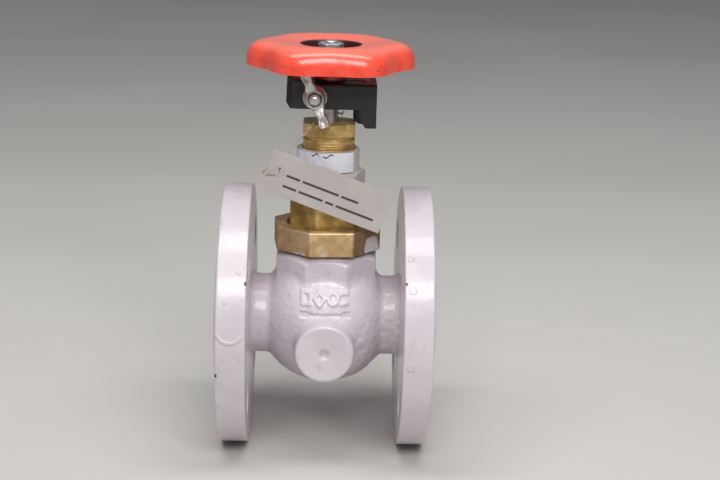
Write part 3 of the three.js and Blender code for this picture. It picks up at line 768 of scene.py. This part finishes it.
def casting_field(x, y, z):
    """Globe, necks, collar, spigot and bosses, with the flow passage cut out."""
    up = z - AXIS_Z
    from_axis = np.hypot(y, up)
    from_stem = np.hypot(x, y)
    from_boss = np.hypot(x, z - BOSS_Z)
    reach = np.abs(y)
    globe = np.sqrt(x * x + y * y + up * up) - GLOBE_RADIUS
    body = soft_min(globe, from_axis - NECK_RADIUS, NECK_FILLET)
    along = np.abs(x)
    wall = np.maximum(np.maximum(FLANGE_BACK + 0.05 - along, from_axis - 27), along - FLANGE_BACK - 1.7)
    body = soft_min(body, wall, FLANGE_FILLET)
    flat = COLLAR_RADIUS * math.cos(math.pi / 8)
    octagon = soft_max(np.maximum(along, reach), (along + reach) * math.sqrt(0.5), 0.3) - flat
    slope = 1.05
    chamfer = (from_stem - 20.3 + (z - COLLAR_TOP) * slope) / math.hypot(1, slope)
    collar = soft_max(soft_max(octagon, z - COLLAR_TOP, 0.3), chamfer, 0.3)
    collar = np.maximum(collar, 64 - z)
    body = soft_min(body, collar, COLLAR_FILLET)
    boss = soft_max(from_boss - BOSS_RADIUS, reach - BOSS_REACH, 1.4)
    body = soft_min(body, np.maximum(boss, 10 - reach), BOSS_FILLET)
    raised = np.maximum(np.maximum(globe - 0.6, mark_outlines(x, z)), y + 8)
    body = soft_min(body, raised, 0.6)
    groove = np.maximum(np.maximum(-0.6 - globe, bar_outline(x, z)), y + 8)
    body = soft_max(body, -groove, 0.35)
    rough = 1 + 1.3 * ease(x, 9, 13) * (y < 0) * ease(-z, -66, -58)
    off_face = from_boss + np.maximum(BOSS_REACH - 1.5 - reach, 0) * 4
    plain = ease(off_face, BOSS_RADIUS - 1, BOSS_RADIUS + 3)
    body = body + plain * rough * (0.10 * lumps(x, y, z, 2.1, 5) + 0.10 * lumps(x, y, z, 5.3, 7))
    dimple = np.sqrt(from_boss ** 2 + (reach - BOSS_REACH - 1.1) ** 2) - 2.5
    body = soft_max(body, -dimple, 0.4)
    spigot = np.maximum(from_stem - SPIGOT_RADIUS, np.maximum(z - SPIGOT_TOP, 80 - z))
    thread = 0.35 * np.cos(TAU * z / 2 + np.arctan2(y, x))
    body = np.minimum(body, spigot + np.where(z > COLLAR_TOP + 0.6, 0.4 + thread, 0))
    return soft_max(body, -passage_field(x, y, z), 0.4)


def passage_field(x, y, z):
    """The hollow inside: a chamber with two bores and a mouth, parted by the seat's web."""
    up = z - AXIS_Z
    chamber = np.sqrt(x * x + y * y + up * up) - (GLOBE_RADIUS - WALL)
    bore = np.hypot(y, up) - BORE_RADIUS - 0.05
    mouth = np.maximum(np.hypot(x, y) - BONNET_BORE_RADIUS, 8 - up)
    hollow = soft_min(chamber, bore, 4)
    hollow = soft_min(hollow, mouth, 2)
    bend = 13.0
    rise = np.clip((np.abs(x) - bend) * 1.22, 0, None) * np.sign(-x)
    web = (np.abs(up - rise) - 2.5) * 0.75
    hollow = soft_max(hollow, -web, 1.5)
    from_stem = np.hypot(x, y)
    hollow = np.minimum(hollow, np.maximum(from_stem - SEAT_RING_RADIUS - 0.3, np.abs(up) - 8))
    ledge = np.maximum(from_stem - SEAT_RING_RADIUS - 2.4, np.abs(up - 7.1) - 4.8)
    return np.minimum(hollow, ledge)


def along_flow(verts, side):
    """Turns points made about +Z so that +Z becomes the flow axis, towards the given side."""
    verts = np.asarray(verts, float)
    return np.stack([side * verts[:, 2], verts[:, 1], AXIS_Z - verts[:, 0]], -1)


def add_flange(name, side):
    corners = [
        (BORE_RADIUS, FLANGE_BACK, 0), (FLANGE_RADIUS, FLANGE_BACK, 0.7),
        (FLANGE_RADIUS, FLANGE_FRONT, 1.1), (RAISED_FACE_RADIUS, FLANGE_FRONT, 0.8),
        (RAISED_FACE_RADIUS, FACE, 0.5), (BORE_RADIUS, FACE, 0.6), (BORE_RADIUS, FLANGE_BACK, 0),
    ]
    verts, faces = turned(divided(rounded(corners), 4), 144)
    verts = along_flow(verts, side)
    flange = add_object(name, verts, faces, PAINT, "body", "body_paint", "valve_body", 50)
    hole_profile = [
        (0, FLANGE_BACK - 2), (BOLT_HOLE_RADIUS + 2.5, FLANGE_BACK - 2),
        (BOLT_HOLE_RADIUS, FLANGE_BACK + 0.5), (BOLT_HOLE_RADIUS, FLANGE_FRONT - 0.5),
        (BOLT_HOLE_RADIUS + 2.5, FLANGE_FRONT + 2), (0, FLANGE_FRONT + 2),
    ]
    offset = BOLT_CIRCLE_RADIUS * math.sqrt(0.5)
    tools = []
    for y in (-offset, offset):
        for z in (-offset, offset):
            points, sides = turned(hole_profile, 48)
            tools.append((along_flow(points, side) + (0, y, z), sides))
    cut_from(flange, tools)
    clean(flange.data, 30)


def add_body():
    low = (-FLANGE_BACK - 1.8, -BOSS_REACH, AXIS_Z - 32)
    high = (FLANGE_BACK + 1.8, BOSS_REACH, SPIGOT_TOP)
    labels = (PAINT, "body", "body_paint", "valve_body")
    add_surface("valve_casting", casting_field, low, high, 0.42, *labels)
    add_flange("inlet_flange", -1)
    add_flange("outlet_flange", 1)


# ---- turned and milled brass ----


def polygonal(corner, sides, first_angle, low, high, soft, bevel=0.0):
    """A reshape for turned() that makes a polygon of the rows between two heights, with slightly
    worn corners and an even bevel along both of its rims."""
    part = TAU / sides
    flat = corner * math.cos(math.pi / sides)

    def reshape(radius, height, angle):
        sharp = flat / np.cos((angle - math.radians(first_angle)) % part - part / 2)
        limit = soft_min(sharp, np.full_like(sharp, corner - soft), soft)
        limit = limit - np.maximum(height - high + bevel, 0) - np.maximum(low + bevel - height, 0)
        inside = (height >= low - 1e-6) & (height <= high + 1e-6)
        return np.where(inside, np.minimum(radius, limit), radius)

    return reshape


def threaded(radius_low, depth, pitch, low, high):
    """A reshape for turned() that winds a thread round the rows between two heights."""

    def reshape(radius, height, angle):
        turn = (height / pitch - angle / TAU) % 1
        ridge = np.abs(turn - 0.5) * 2
        fade = ease(height, low, low + pitch) * (1 - ease(height, high - pitch, high))
        here = (radius > radius_low) & (height > low) & (height < high)
        return np.where(here, radius - depth * ridge * fade, radius)

    return reshape


def both(first, second):
    return lambda radius, height, angle: second(first(radius, height, angle), height, angle)


def add_turned(name, profile, segments, material, body, slot, node, reshape=None, sharp=35):
    verts, faces = turned(profile, segments, reshape)
    add_object(name, verts, faces, material, body, slot, node, sharp)


def add_union_nut():
    low, high = nut_low.z, nut_high.z
    corner = 24.5
    bevel = 0.4
    lip = 17.6
    profile = rounded([
        (SPIGOT_RADIUS + 0.3, low, 0), (corner + 1, low, 0), (corner + 1, low + bevel, 0),
        (corner + 1, high - bevel, 0), (corner + 1, high, 0), (lip + 0.5, high, 0.3),
        (lip, high - 0.6, 0.2), (lip, high - 2.6, 0), (SPIGOT_RADIUS + 0.3, high - 2.6, 0),
        (SPIGOT_RADIUS + 0.3, low, 0),
    ])
    reshape = polygonal(corner, 8, -17.5, low, high, 0.15, bevel)
    add_turned(
        "union_nut_milled", divided(profile, 0.45), 256, NUT_BRASS,
        "body", "nut_brass", "union_nut", reshape, 20)


def add_bonnet():
    low, top = bonnet_low.z, bonnet_high.z
    hex_top = 124
    corner = 17
    flat = corner * math.cos(math.pi / 6)
    collar = 13.5
    foot = 97.1
    profile = rounded([
        (6.2, low, 0), (14.8, low, 0.5), (15.0, 94.6, 0), (18.6, 94.6, 0), (18.6, foot, 0.3),
        (flat * 0.99, foot, 0), (17.4, foot + 0.6, 0.5), (17.2, foot + 4.2, 1.2),
        (corner + 0.6, foot + 6, 0.6), (corner + 0.6, hex_top - 1.6, 0),
        (flat * 0.97, hex_top, 0.3), (collar, hex_top, 0.3), (collar, top, 0.7), (11.65, top, 0.3),
        (11.65, 125.2, 0), (8, 125.2, 0), (8, 109, 0), (4.1, 109, 0), (4.1, 107.5, 0),
        (6.2, 105.5, 0), (6.2, low, 0),
    ])
    reshape = polygonal(corner, 6, -16.6, foot + 0.7, hex_top, 0.3)
    add_turned(
        "bonnet_milled", divided(profile, 0.5), 216, BONNET_BRASS,
        "body", "bonnet_brass", "bonnet", reshape, 20)


def add_gland_nut():
    low, top = gland_low.z, gland_high.z
    hex_low = 139
    corner = 13
    bevel = 0.3
    flat = corner * math.cos(math.pi / 6)
    profile = rounded([
        (4.2, low, 0), (7.6, low, 0.4), (7.6, 125.6, 0), (11.35, 125.6, 0.3),
        (11.35, hex_low - 1.5, 0.3), (10.5, hex_low - 1.1, 0.3), (10.5, hex_low - 0.2, 0.3),
        (flat * 0.98, hex_low, 0.2), (corner + 0.8, hex_low + 0.8, 0),
        (corner + 0.8, top - bevel, 0), (corner + 0.8, top, 0), (4.6, top, 0.3),
        (4.2, top - 0.5, 0), (4.2, low, 0),
    ])
    hexagon = polygonal(corner, 6, 0, hex_low, top, 0.05, bevel)
    thread = threaded(11, 0.55, 1.25, 126.4, hex_low - 2.2)
    add_turned(
        "gland_nut_milled", divided(profile, 0.25), 192, GLAND_BRASS,
        "body", "nut_brass", "gland_nut", both(hexagon, thread), 20)


def add_seat_ring():
    """The seat ring, which the bores show, with its turned edges."""
    seat = rounded([
        (8.5, 54.2, 0), (11, 54.2, 0.4), (11, 60.2, 0.2), (12.8, 60.2, 0.3), (12.8, 62, 0.4),
        (9.6, 62, 0.3), (8.5, 60.6, 0), (8.5, 54.2, 0),
    ])
    add_turned("seat_ring_turned", seat, 96, INNER_BRASS, "body", "brass", "seat_ring")


# ---- paper label ----


def add_label():
    """Paper wrapped round the collar from right of the front, round the left, to the back."""
    inner = 13.8
    low, high = label_low.z, label_high.z
    columns, rows = 160, 14
    angles = np.radians(np.linspace(50, -170, columns))
    verts = []
    for thickness in (0.0, 0.16):
        for i in range(rows):
            share = i / (rows - 1)
            height = low + (high - low) * share
            crease = 0.07 * np.sin(angles * 11 + 2 * share) + 0.05 * np.sin(angles * 23 + 7 * share)
            lift = 0.10 * np.clip(1 - (math.radians(50) - angles) / 0.12, 0, 1)
            wavy = 0.12 * np.sin(angles * 5) * (share > 0.99)
            radius = inner + thickness + np.clip(crease + 0.08, 0, 0.18) + lift
            ring = np.stack([radius * np.sin(angles), -radius * np.cos(angles), height + wavy], -1)
            verts.append(ring)
    verts = np.concatenate(verts)
    faces = []
    layer = rows * columns

    def quad(a, b, c, d):
        faces.append((a, b, c, d))

    for i in range(rows - 1):
        for j in range(columns - 1):
            a = i * columns + j
            quad(a, a + 1, a + columns + 1, a + columns)
            quad(layer + a, layer + a + columns, layer + a + columns + 1, layer + a + 1)
    for j in range(columns - 1):
        quad(j, layer + j, layer + j + 1, j + 1)
        top = (rows - 1) * columns + j
        quad(top, top + 1, layer + top + 1, layer + top)
    for i in range(rows - 1):
        for j in (0, columns - 1):
            a = i * columns + j
            quad(a, a + columns, layer + a + columns, layer + a)
    add_object("label_paper_wrap", verts, faces, PAPER, "body", "label_paper", "label_sleeve", 60)


# ---- stem and handwheel ----


def add_stem():
    low, top = stem_low.z, stem_high.z
    shoulder = wheel_low.z - 0.3
    profile = rounded([
        (0, low, 0), (4.6, low, 0.3), (4.6, 69.7, 0.2), (3, 69.7, 0), (3, 75, 0), (5.9, 76.5, 0.3),
        (5.9, 95, 0.3), (STEM_RADIUS, 97, 0.3), (STEM_RADIUS, shoulder, 0.3), (3, shoulder, 0),
        (3, top - 0.7, 0.2), (2.3, top, 0.2), (0, top, 0),
    ])
    fine = threaded(2.6, 0.35, 1, wheel_nut_low.z - 1, top)
    coarse = threaded(5, 0.8, 2, 76.6, 95)
    add_turned(
        "stem_turned", divided(profile, 0.22), 64, STEEL,
        "stem_and_wheel", "stem_steel", "stem", both(coarse, fine), 60)


def add_handwheel():
    rim, well, bore, skirt = 36.4, 12.9, 3.3, 169
    boss, top = wheel_low.z, wheel_high.z
    hub = boss + 2.4
    profile = rounded([
        (bore, boss, 0), (6.9, boss, 0.4), (6.9, hub, 0.6), (well - 0.4, hub, 0.8),
        (well + 1.3, hub + 1.6, 1), (well + 1.5, 175.2, 1.2), (18, 176.6, 1.5), (26, 177.6, 2),
        (30.6, 176.2, 2), (rim - 2.5, skirt + 4, 1.5), (rim - 1.7, skirt, 0.4), (rim, skirt, 0.5),
        (rim - 0.2, skirt + 4.6, 1.5), (rim - 1.8, skirt + 8, 2.6), (rim - 4.8, top - 0.9, 2.4),
        (26, top, 3), (19, top - 0.7, 2), (well + 0.3, top - 1.5, 0.2), (well, top - 1.9, 0.2),
        (well - 0.7, hub + 3, 1), (7.6, hub + 2.6, 0.8), (7.4, wheel_nut_low.z - 1.6, 0.4),
        (bore, wheel_nut_low.z - 1.6, 0), (bore, boss, 0),
    ], 6)

    def lobed(radius, height, angle):
        share = np.clip((radius - 22) / (rim - 22), 0, None)
        dip = 0.5 + 0.5 * np.cos(6 * angle)
        return radius - 4.2 * share * dip

    add_turned(
        "handwheel_pressed", divided(profile, 0.9), 288, RED,
        "stem_and_wheel", "wheel_paint", "handwheel", lobed, 50)


def add_wheel_nut():
    low, top = wheel_nut_low.z, wheel_nut_high.z
    corner = 5.77
    flat = corner * math.cos(math.pi / 6)
    profile = rounded([
        (3.3, low, 0), (flat * 0.96, low, 0.2), (corner + 0.4, low + 0.8, 0),
        (corner + 0.4, top - 0.9, 0), (flat * 0.92, top, 0.25), (3.9, top, 0.2),
        (3.3, top - 0.6, 0), (3.3, low, 0),
    ])
    reshape = polygonal(corner, 6, -24, low, top, 0.15)
    add_turned(
        "wheel_nut_milled", divided(profile, 0.2), 144, ZINC,
        "stem_and_wheel", "zinc_steel", "wheel_nut", reshape)
    near, far = top - 7.3, top - 6.3
    washer = [(3.3, near, 0), (6.4, near, 0.2), (6.4, far, 0.3), (3.3, far, 0.2), (3.3, near, 0)]
    add_turned(
        "wheel_washer_stamped", rounded(washer), 64, ZINC,
        "stem_and_wheel", "zinc_steel", "wheel_washer")


# ---- stem clamp and wing nut ----


def outline_field(points, u, v):
    """Signed distance to a closed outline in two coordinates."""
    points = np.array(points, float)
    best = np.full(u.shape, 1e9, np.float32)
    inside = np.zeros(u.shape, bool)
    for (ax, ay), (bx, by) in zip(points, np.roll(points, -1, 0)):
        ex, ey = bx - ax, by - ay
        share = np.clip(((u - ax) * ex + (v - ay) * ey) / (ex * ex + ey * ey), 0, 1)
        best = np.minimum(best, np.hypot(u - ax - share * ex, v - ay - share * ey))
        rise = by - ay if by != ay else 1
        inside ^= ((ay > v) != (by > v)) & (u < ex * (v - ay) / rise + ax)
    return np.where(inside, -best, best)


PIN_X = (pin_low.x + pin_high.x) / 2


def add_clamp_half(name, slabs, node):
    """Slabs with softened edges, each an outline between two depths (y), joined and then bored
    for the stem, the pin and the bolt."""
    corners = [corner for outline, _, _ in slabs for corner in outline]
    left, right = min(x for x, _ in corners), max(x for x, _ in corners)
    bottom, top = min(z for _, z in corners), max(z for _, z in corners)
    near, far = min(slab[1] for slab in slabs), max(slab[2] for slab in slabs)

    def field(x, y, z):
        body = 1e3
        for outline, start, end in slabs:
            flat = outline_field(outline, x[:, :1, :], z[:, :1, :])
            block = soft_max(flat + 0 * y, np.abs(y - (start + end) / 2) - (end - start) / 2, 0.8)
            body = np.minimum(body, block)
        body = soft_max(body, -(np.hypot(x, y) - STEM_RADIUS - 0.3), 0.3)
        body = soft_max(body, -(np.hypot(x - PIN_X, y) - 1.8), 0.3)
        body = soft_max(body, -(np.hypot(x - BOLT_X, z - BOLT_Z) - 2.75), 0.3)
        return body + 0.03 * lumps(x, y, z, 3.1, 11)

    labels = (BLACK, "lock_clamp", "clamp_black", node)
    add_surface(name, field, (left, near, bottom), (right, far, top), 0.3, *labels)


def add_clamp():
    """The front half has one foot beside the gland nut. The rear half is longer on the left and
    has its own foot, which stands off the split."""
    left, right, low, top = front_low.x, front_high.x, 151.8, 162.8
    foot_left, foot_low = 12.8, front_low.z
    front = [
        (left, low + 1), (left + 1, low), (foot_left, low), (foot_left, foot_low + 3.4),
        (foot_left + 2.6, foot_low), (right, foot_low), (right, top), (-8.4, top),
        (-9.4, front_high.z), (left, front_high.z),
    ]
    add_clamp_half("clamp_half_front", [(front, front_low.y, front_high.y)], "lock_clamp_front")
    left, drop = rear_low.x, low - 2.1
    rear = [
        (left, low + 0.8), (left + 1.8, drop), (left + 9, drop), (left + 10.4, low), (right, low),
        (right, top), (left + 10, top), (left + 9, rear_high.z), (left + 0.4, rear_high.z),
    ]
    foot_left, foot_low = foot_left - 2.4, rear_low.z
    foot = [
        (foot_left, low + 2), (foot_left, foot_low + 2.8), (foot_left + 1, foot_low + 1),
        (foot_left + 2.6, foot_low), (right, foot_low), (right, low + 2),
    ]
    slabs = [(rear, rear_low.y, rear_high.y), (foot, rear_high.y - 4, rear_high.y)]
    add_clamp_half("clamp_half_rear", slabs, "lock_clamp_rear")
    low, top = pin_low.z, pin_high.z
    verts, faces = turned(rounded([(0, low, 0), (1.6, low, 0.3), (1.6, top, 0.4), (0, top, 0)]), 40)
    verts = verts + (PIN_X, 0, 0)
    add_object("clamp_pin", verts, faces, ZINC, "lock_clamp", "zinc_steel", "clamp_hinge_pin", 40)


def add_bolt():
    """Hexagon head at the back, shank, and a thread whose domed end shows in the wing nut."""
    end = -bolt_low.y
    head_near, head_far = -12.3, -bolt_high.y
    profile = rounded([
        (0, head_far, 0), (3.6, head_far, 0.2), (5, head_far + 0.8, 0), (5, head_near, 0),
        (2.45, head_near, 0), (2.45, end - 1.3, 0.6), (1.5, end - 0.25, 0.6), (0, end, 0),
    ], 5)
    hexagon = polygonal(4.5, 6, 0, head_far, head_near, 0.15)
    thread = threaded(2.2, 0.28, 0.8, -6, end - 1.6)
    verts, faces = turned(divided(profile, 0.2), 72, both(hexagon, thread))
    verts = to_front(verts)
    add_object(
        "clamp_bolt_turned", verts, faces, ZINC, "lock_clamp", "zinc_steel", "clamp_bolt", 50)


def add_washer():
    near, far = -washer_high.y, -washer_low.y
    ring = [(2.75, near, 0), (5.2, near, 0.15), (5.2, far, 0.35), (2.75, far, 0.15), (2.75, near, 0)]
    verts, faces = turned(rounded(ring), 64)
    verts = to_front(verts)
    add_object(
        "clamp_washer_stamped", verts, faces, ZINC, "washer", "zinc_steel", "clamp_washer", 40)


WING_LEAN = math.radians(22)
WING_BASE = -wing_high.y
WING_OUTLINE = (
    (0, 0.5), (5, 0.5), (8.4, 1.9), (11.2, 4.1), (12.7, 6.2),
    (12.4, 8), (11, 8.9), (8.6, 7.7), (4, 5.6), (0, 5.4),
)


def wing_field(x, y, z):
    """Wing nut about its own axis: along is the way the wings reach, out is away from the clamp."""
    dx, dz = x - BOLT_X, z - BOLT_Z
    along = -math.sin(WING_LEAN) * dx + math.cos(WING_LEAN) * dz
    across = math.cos(WING_LEAN) * dx + math.sin(WING_LEAN) * dz
    out = -y - WING_BASE
    from_axis = np.hypot(dx, dz)
    hub = np.maximum(from_axis - 4.75 + 0.2 * out, np.abs(out - 3) - 3)
    skirt = soft_max(from_axis - 4.85, np.abs(out - 0.6) - 0.55, 0.3)
    hub = soft_min(hub, skirt, 0.5)
    reach = np.abs(along)
    side = outline_field(WING_OUTLINE, reach, out)
    thickness = 1.45 + 0.65 * ease(reach, 5, 11) + 1.1 * (1 - ease(reach, 4, 8))
    wing = soft_max(side, np.abs(across) - thickness, 1.1)
    cup = np.sqrt(across ** 2 + (out - 9.4) ** 2 + ((reach - 9.2) * 0.7) ** 2) - 2.3
    wing = soft_max(wing, -cup, 0.5)
    nut = soft_min(hub, wing, 1.4)
    bore = from_axis - 2.75
    rim = np.sqrt(from_axis ** 2 + (out - 7.6) ** 2) - 3.7
    nut = soft_max(nut, -np.minimum(bore, rim), 0.3)
    return nut + 0.04 * lumps(x, y, z, 1.4, 21)


def add_wing_nut():
    low = (wing_low.x - 0.5, wing_low.y - 0.5, wing_low.z - 0.5)
    high = (wing_high.x + 0.5, wing_high.y + 0.3, wing_high.z + 0.5)
    labels = (ZINC_CAST, "wing_nut", "zinc_cast", "wing_nut")
    add_surface("wing_nut_cast", wing_field, low, high, 0.2, *labels)


# ---- name tag and wire ----

TAG_LENGTH, TAG_HEIGHT = 54.3, 18.3
TAG_HOLE_X, TAG_HOLE_Z = -20.9, 126.1
TAG_HOLE_INSET, TAG_HOLE_DROP = 5.1, 8.8


def tag_points(flat):
    """Moves points from the tag's own plane (hole at 0, +Y out of its front) to the object."""
    flat = np.asarray(flat, float)
    c, s = math.cos(TAG_ANGLE), math.sin(TAG_ANGLE)
    x = flat[:, 0] * c + flat[:, 1] * s + TAG_HOLE_X
    z = -flat[:, 0] * s + flat[:, 1] * c + TAG_HOLE_Z
    return np.stack([x, flat[:, 2], z], -1)


def plate(name, corners, hole, near, far, bevel, material):
    """A flat plate in the tag's plane from outline corners and a round hole, both bevelled."""
    places = np.array(corners, float)
    ring = np.linspace(0, TAU, 48, endpoint=False)
    curve = bpy.data.curves.new(name, "CURVE")
    curve.dimensions = "2D"
    curve.fill_mode = "BOTH"
    curve.extrude = ((far - near) / 2 - bevel) * MM
    curve.bevel_depth = bevel * MM
    curve.bevel_resolution = 2
    curve.offset = -bevel * MM
    loops = [[]]
    for before, here, after in zip(np.roll(places, 1, 0), places, np.roll(places, -1, 0)):
        loops[0] += arc(before, here, after, 0.4)
    if hole:
        loops.append([(hole * math.cos(a), hole * math.sin(a)) for a in ring])
    for loop in loops:
        spline = curve.splines.new("POLY")
        spline.points.add(len(loop) - 1)
        for point, (u, v) in zip(spline.points, loop):
            point.co = (u * MM, v * MM, 0, 1)
        spline.use_cyclic_u = True
    thing = placed(name, curve)
    mesh = evaluated_mesh(thing)
    bpy.data.objects.remove(thing)
    flat = np.array([vert.co[:] for vert in mesh.vertices]) / MM
    flat[:, 2] += (near + far) / 2
    mesh.vertices.foreach_set("co", (tag_points(flat) * MM).astype(np.float32).ravel())
    return add_mesh(name, mesh, material, "tag", sharp=40)


# Printed bars on the tag: each row's height from the hole, and the lengths of its bars.
BAR_ROWS = ((-0.2, (6.2, 16.5, 7.9)), (-4.9, (6.2, 11.0, 3.7, 17.2)))
BAR_START, BAR_GAP, BAR_HALF_HEIGHT = 3.5, 1.1, 0.5


def add_tag():
    front, back = tag_low.y, tag_high.y
    left, top = -TAG_HOLE_INSET, TAG_HOLE_DROP
    right, bottom = left + TAG_LENGTH, top - TAG_HEIGHT
    corners = [(left, top), (left, bottom), (right, bottom), (right, top)]
    tag = plate("name_tag_plate", corners, 2.1, front + 0.01, back, 0.12, PLATE)
    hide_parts("name_tag")
    for row, (height, lengths) in enumerate(BAR_ROWS):
        x = BAR_START
        for number, length in enumerate(lengths):
            end = x + length
            low, high = height - BAR_HALF_HEIGHT, height + BAR_HALF_HEIGHT
            bar = [(x, low), (end, low), (end, high), (x, high)]
            name = f"tag_bar_{row + 1}_{number + 1}"
            plate(name, bar, 0, front - 0.03, front + 0.06, 0.01, INK)
            x = end + BAR_GAP


# The wire's route, repeated from the CAD model: a curl right of the stem, round the back of the
# stem, down over the gland nut to the tag, through its hole and round its left edge.
WIRE_ROUTE = (
    (6.2, -4.4, 150), (5.2, -5.2, 148.9), (5.4, -1.5, 148.2), (3.6, 3.6, 148), (-1, 5, 148),
    (-4.6, 2.4, 147.9), (-5.2, -2.5, 147.6), (-5.4, -8, 146.8), (-7.8, -12.2, 144.4),
    (-11.4, -13.4, 140.2), (-15.5, -14.6, 136), (-19, -16.6, 131), (-20.6, -18.4, 127.2),
    (-20.9, -20.5, 126.1), (-21.4, -22.2, 125.8), (-24.6, -22.3, 125.6), (-27.2, -21.8, 125.7),
    (-27.8, -20.4, 125.9), (-26.6, -18.8, 126.6), (-24.6, -18.4, 127.4),
)


STRAND_RADIUS = 0.19
STRAND_FROM_MIDDLE = 0.2
STRAND_PITCH = 2.4
STRAND_SIDES = 8
POINTS_PER_SPAN = 14


def smooth_route(points, per_span):
    """A Catmull-Rom curve through the points."""
    points = np.array(points, float)
    padded = np.vstack([2 * points[0] - points[1], points, 2 * points[-1] - points[-2]])
    out = []
    for a, b, c, d in zip(padded, padded[1:], padded[2:], padded[3:]):
        for k in range(per_span):
            t = k / per_span
            bend, twist = 2 * a - 5 * b + 4 * c - d, 3 * b - a - 3 * c + d
            out.append(0.5 * (2 * b + (c - a) * t + bend * t ** 2 + twist * t ** 3))
    out.append(points[-1])
    return np.array(out)


def swept(path, radius, sides, strand=None):
    """A round rod along a path. strand is (distance, pitch, phase) of a helix about the path."""
    ahead = np.gradient(path, axis=0)
    ahead /= np.linalg.norm(ahead, axis=1)[:, None]
    length = np.concatenate([[0], np.cumsum(np.linalg.norm(np.diff(path, axis=0), axis=1))])
    side = np.cross(ahead[0], (0.3, 1, 0.2))
    sides_ahead = []
    for way in ahead:
        side = side - way * np.dot(side, way)
        side = side / np.linalg.norm(side)
        sides_ahead.append((side, np.cross(way, side)))
    if strand is not None:
        distance, pitch, phase = strand
        turn = TAU * length / pitch + phase
        moved = []
        for centre, (u, v), t in zip(path, sides_ahead, turn):
            moved.append(centre + distance * (math.cos(t) * u + math.sin(t) * v))
        return swept(np.array(moved), radius, sides)
    verts = []
    for centre, (u, v) in zip(path, sides_ahead):
        for k in range(sides):
            a = TAU * k / sides
            verts.append(centre + radius * (math.cos(a) * u + math.sin(a) * v))
    faces = grid_faces(len(path), sides)
    faces.append(tuple(range(sides))[::-1])
    last = (len(path) - 1) * sides
    faces.append(tuple(last + k for k in range(sides)))
    return np.array(verts), faces


def add_wire():
    path = smooth_route(WIRE_ROUTE, POINTS_PER_SPAN)
    for number, phase in enumerate((0, math.pi)):
        helix = (STRAND_FROM_MIDDLE, STRAND_PITCH, phase)
        verts, faces = swept(path, STRAND_RADIUS, STRAND_SIDES, helix)
        name = f"tag_wire_strand_{number + 1}"
        add_object(name, verts, faces, WIRE, "body", "wire_steel", "tag_wire")


# ---- making everything ----

add_body()
add_union_nut()
add_bonnet()
add_gland_nut()
add_seat_ring()
add_label()
add_stem()
add_handwheel()
add_wheel_nut()
add_clamp()
add_bolt()
add_washer()
add_wing_nut()
add_tag()
add_wire()

CARRIED_OVER = {
    "plug": INNER_BRASS,
    "plug_nut": INNER_BRASS,
    "bonnet_gasket": GASKET,
    "packing_ring_1": PACKING,
    "packing_ring_2": PACKING,
    "packing_ring_3": PACKING,
    "packing_washer": INNER_BRASS,
}
for node, finish in CARRIED_OVER.items():
    for place in bpy.data.objects[node].material_slots:
        place.material = finish

# ---- floor and light ----


def floor_finish():
    finish = Finish("floor_finish")
    cloud = finish.window(finish.noise(420, 3, 0.5, 1), 0.35, 0.65)
    tone = finish.blend(cloud, tint(196, 193, 188), tint(203, 200, 195))
    return finish.done(tone, 0.7)


def add_floor():
    half = 6000
    corners = [(-half, -half, -0.2), (half, -half, -0.2), (half, half, -0.2), (-half, half, -0.2)]
    floor = placed("floor", mesh_of("floor", corners, [(0, 1, 2, 3)]))
    floor.data.materials.append(floor_finish())


def add_light(name, power, size, place, aim):
    data = bpy.data.lights.new(name, "AREA")
    data.shape = "RECTANGLE"
    data.size, data.size_y = size
    data.energy = power
    lamp = placed(name, data)
    lamp.location = place
    lamp.rotation_euler = (Vector(aim) - Vector(place)).to_track_quat("-Z", "Y").to_euler()


def add_world():
    world = bpy.data.worlds.new("world")
    world.use_nodes = True
    sky = world.node_tree.nodes["Background"]
    sky.inputs["Color"].default_value = (0.93, 0.95, 1.0, 1)
    sky.inputs["Strength"].default_value = 0.22
    bpy.context.scene.world = world


add_floor()
add_world()
add_light("front", 10.4, (0.9, 0.35), (0.12, -1.05, 0.88), (0, 0, 0.09))
add_light("overhead", 12.6, (1.5, 0.4), (0.0, -0.25, 1.3), (0, 0, 0.08))
bpy.context.scene.view_settings.view_transform = "Standard"
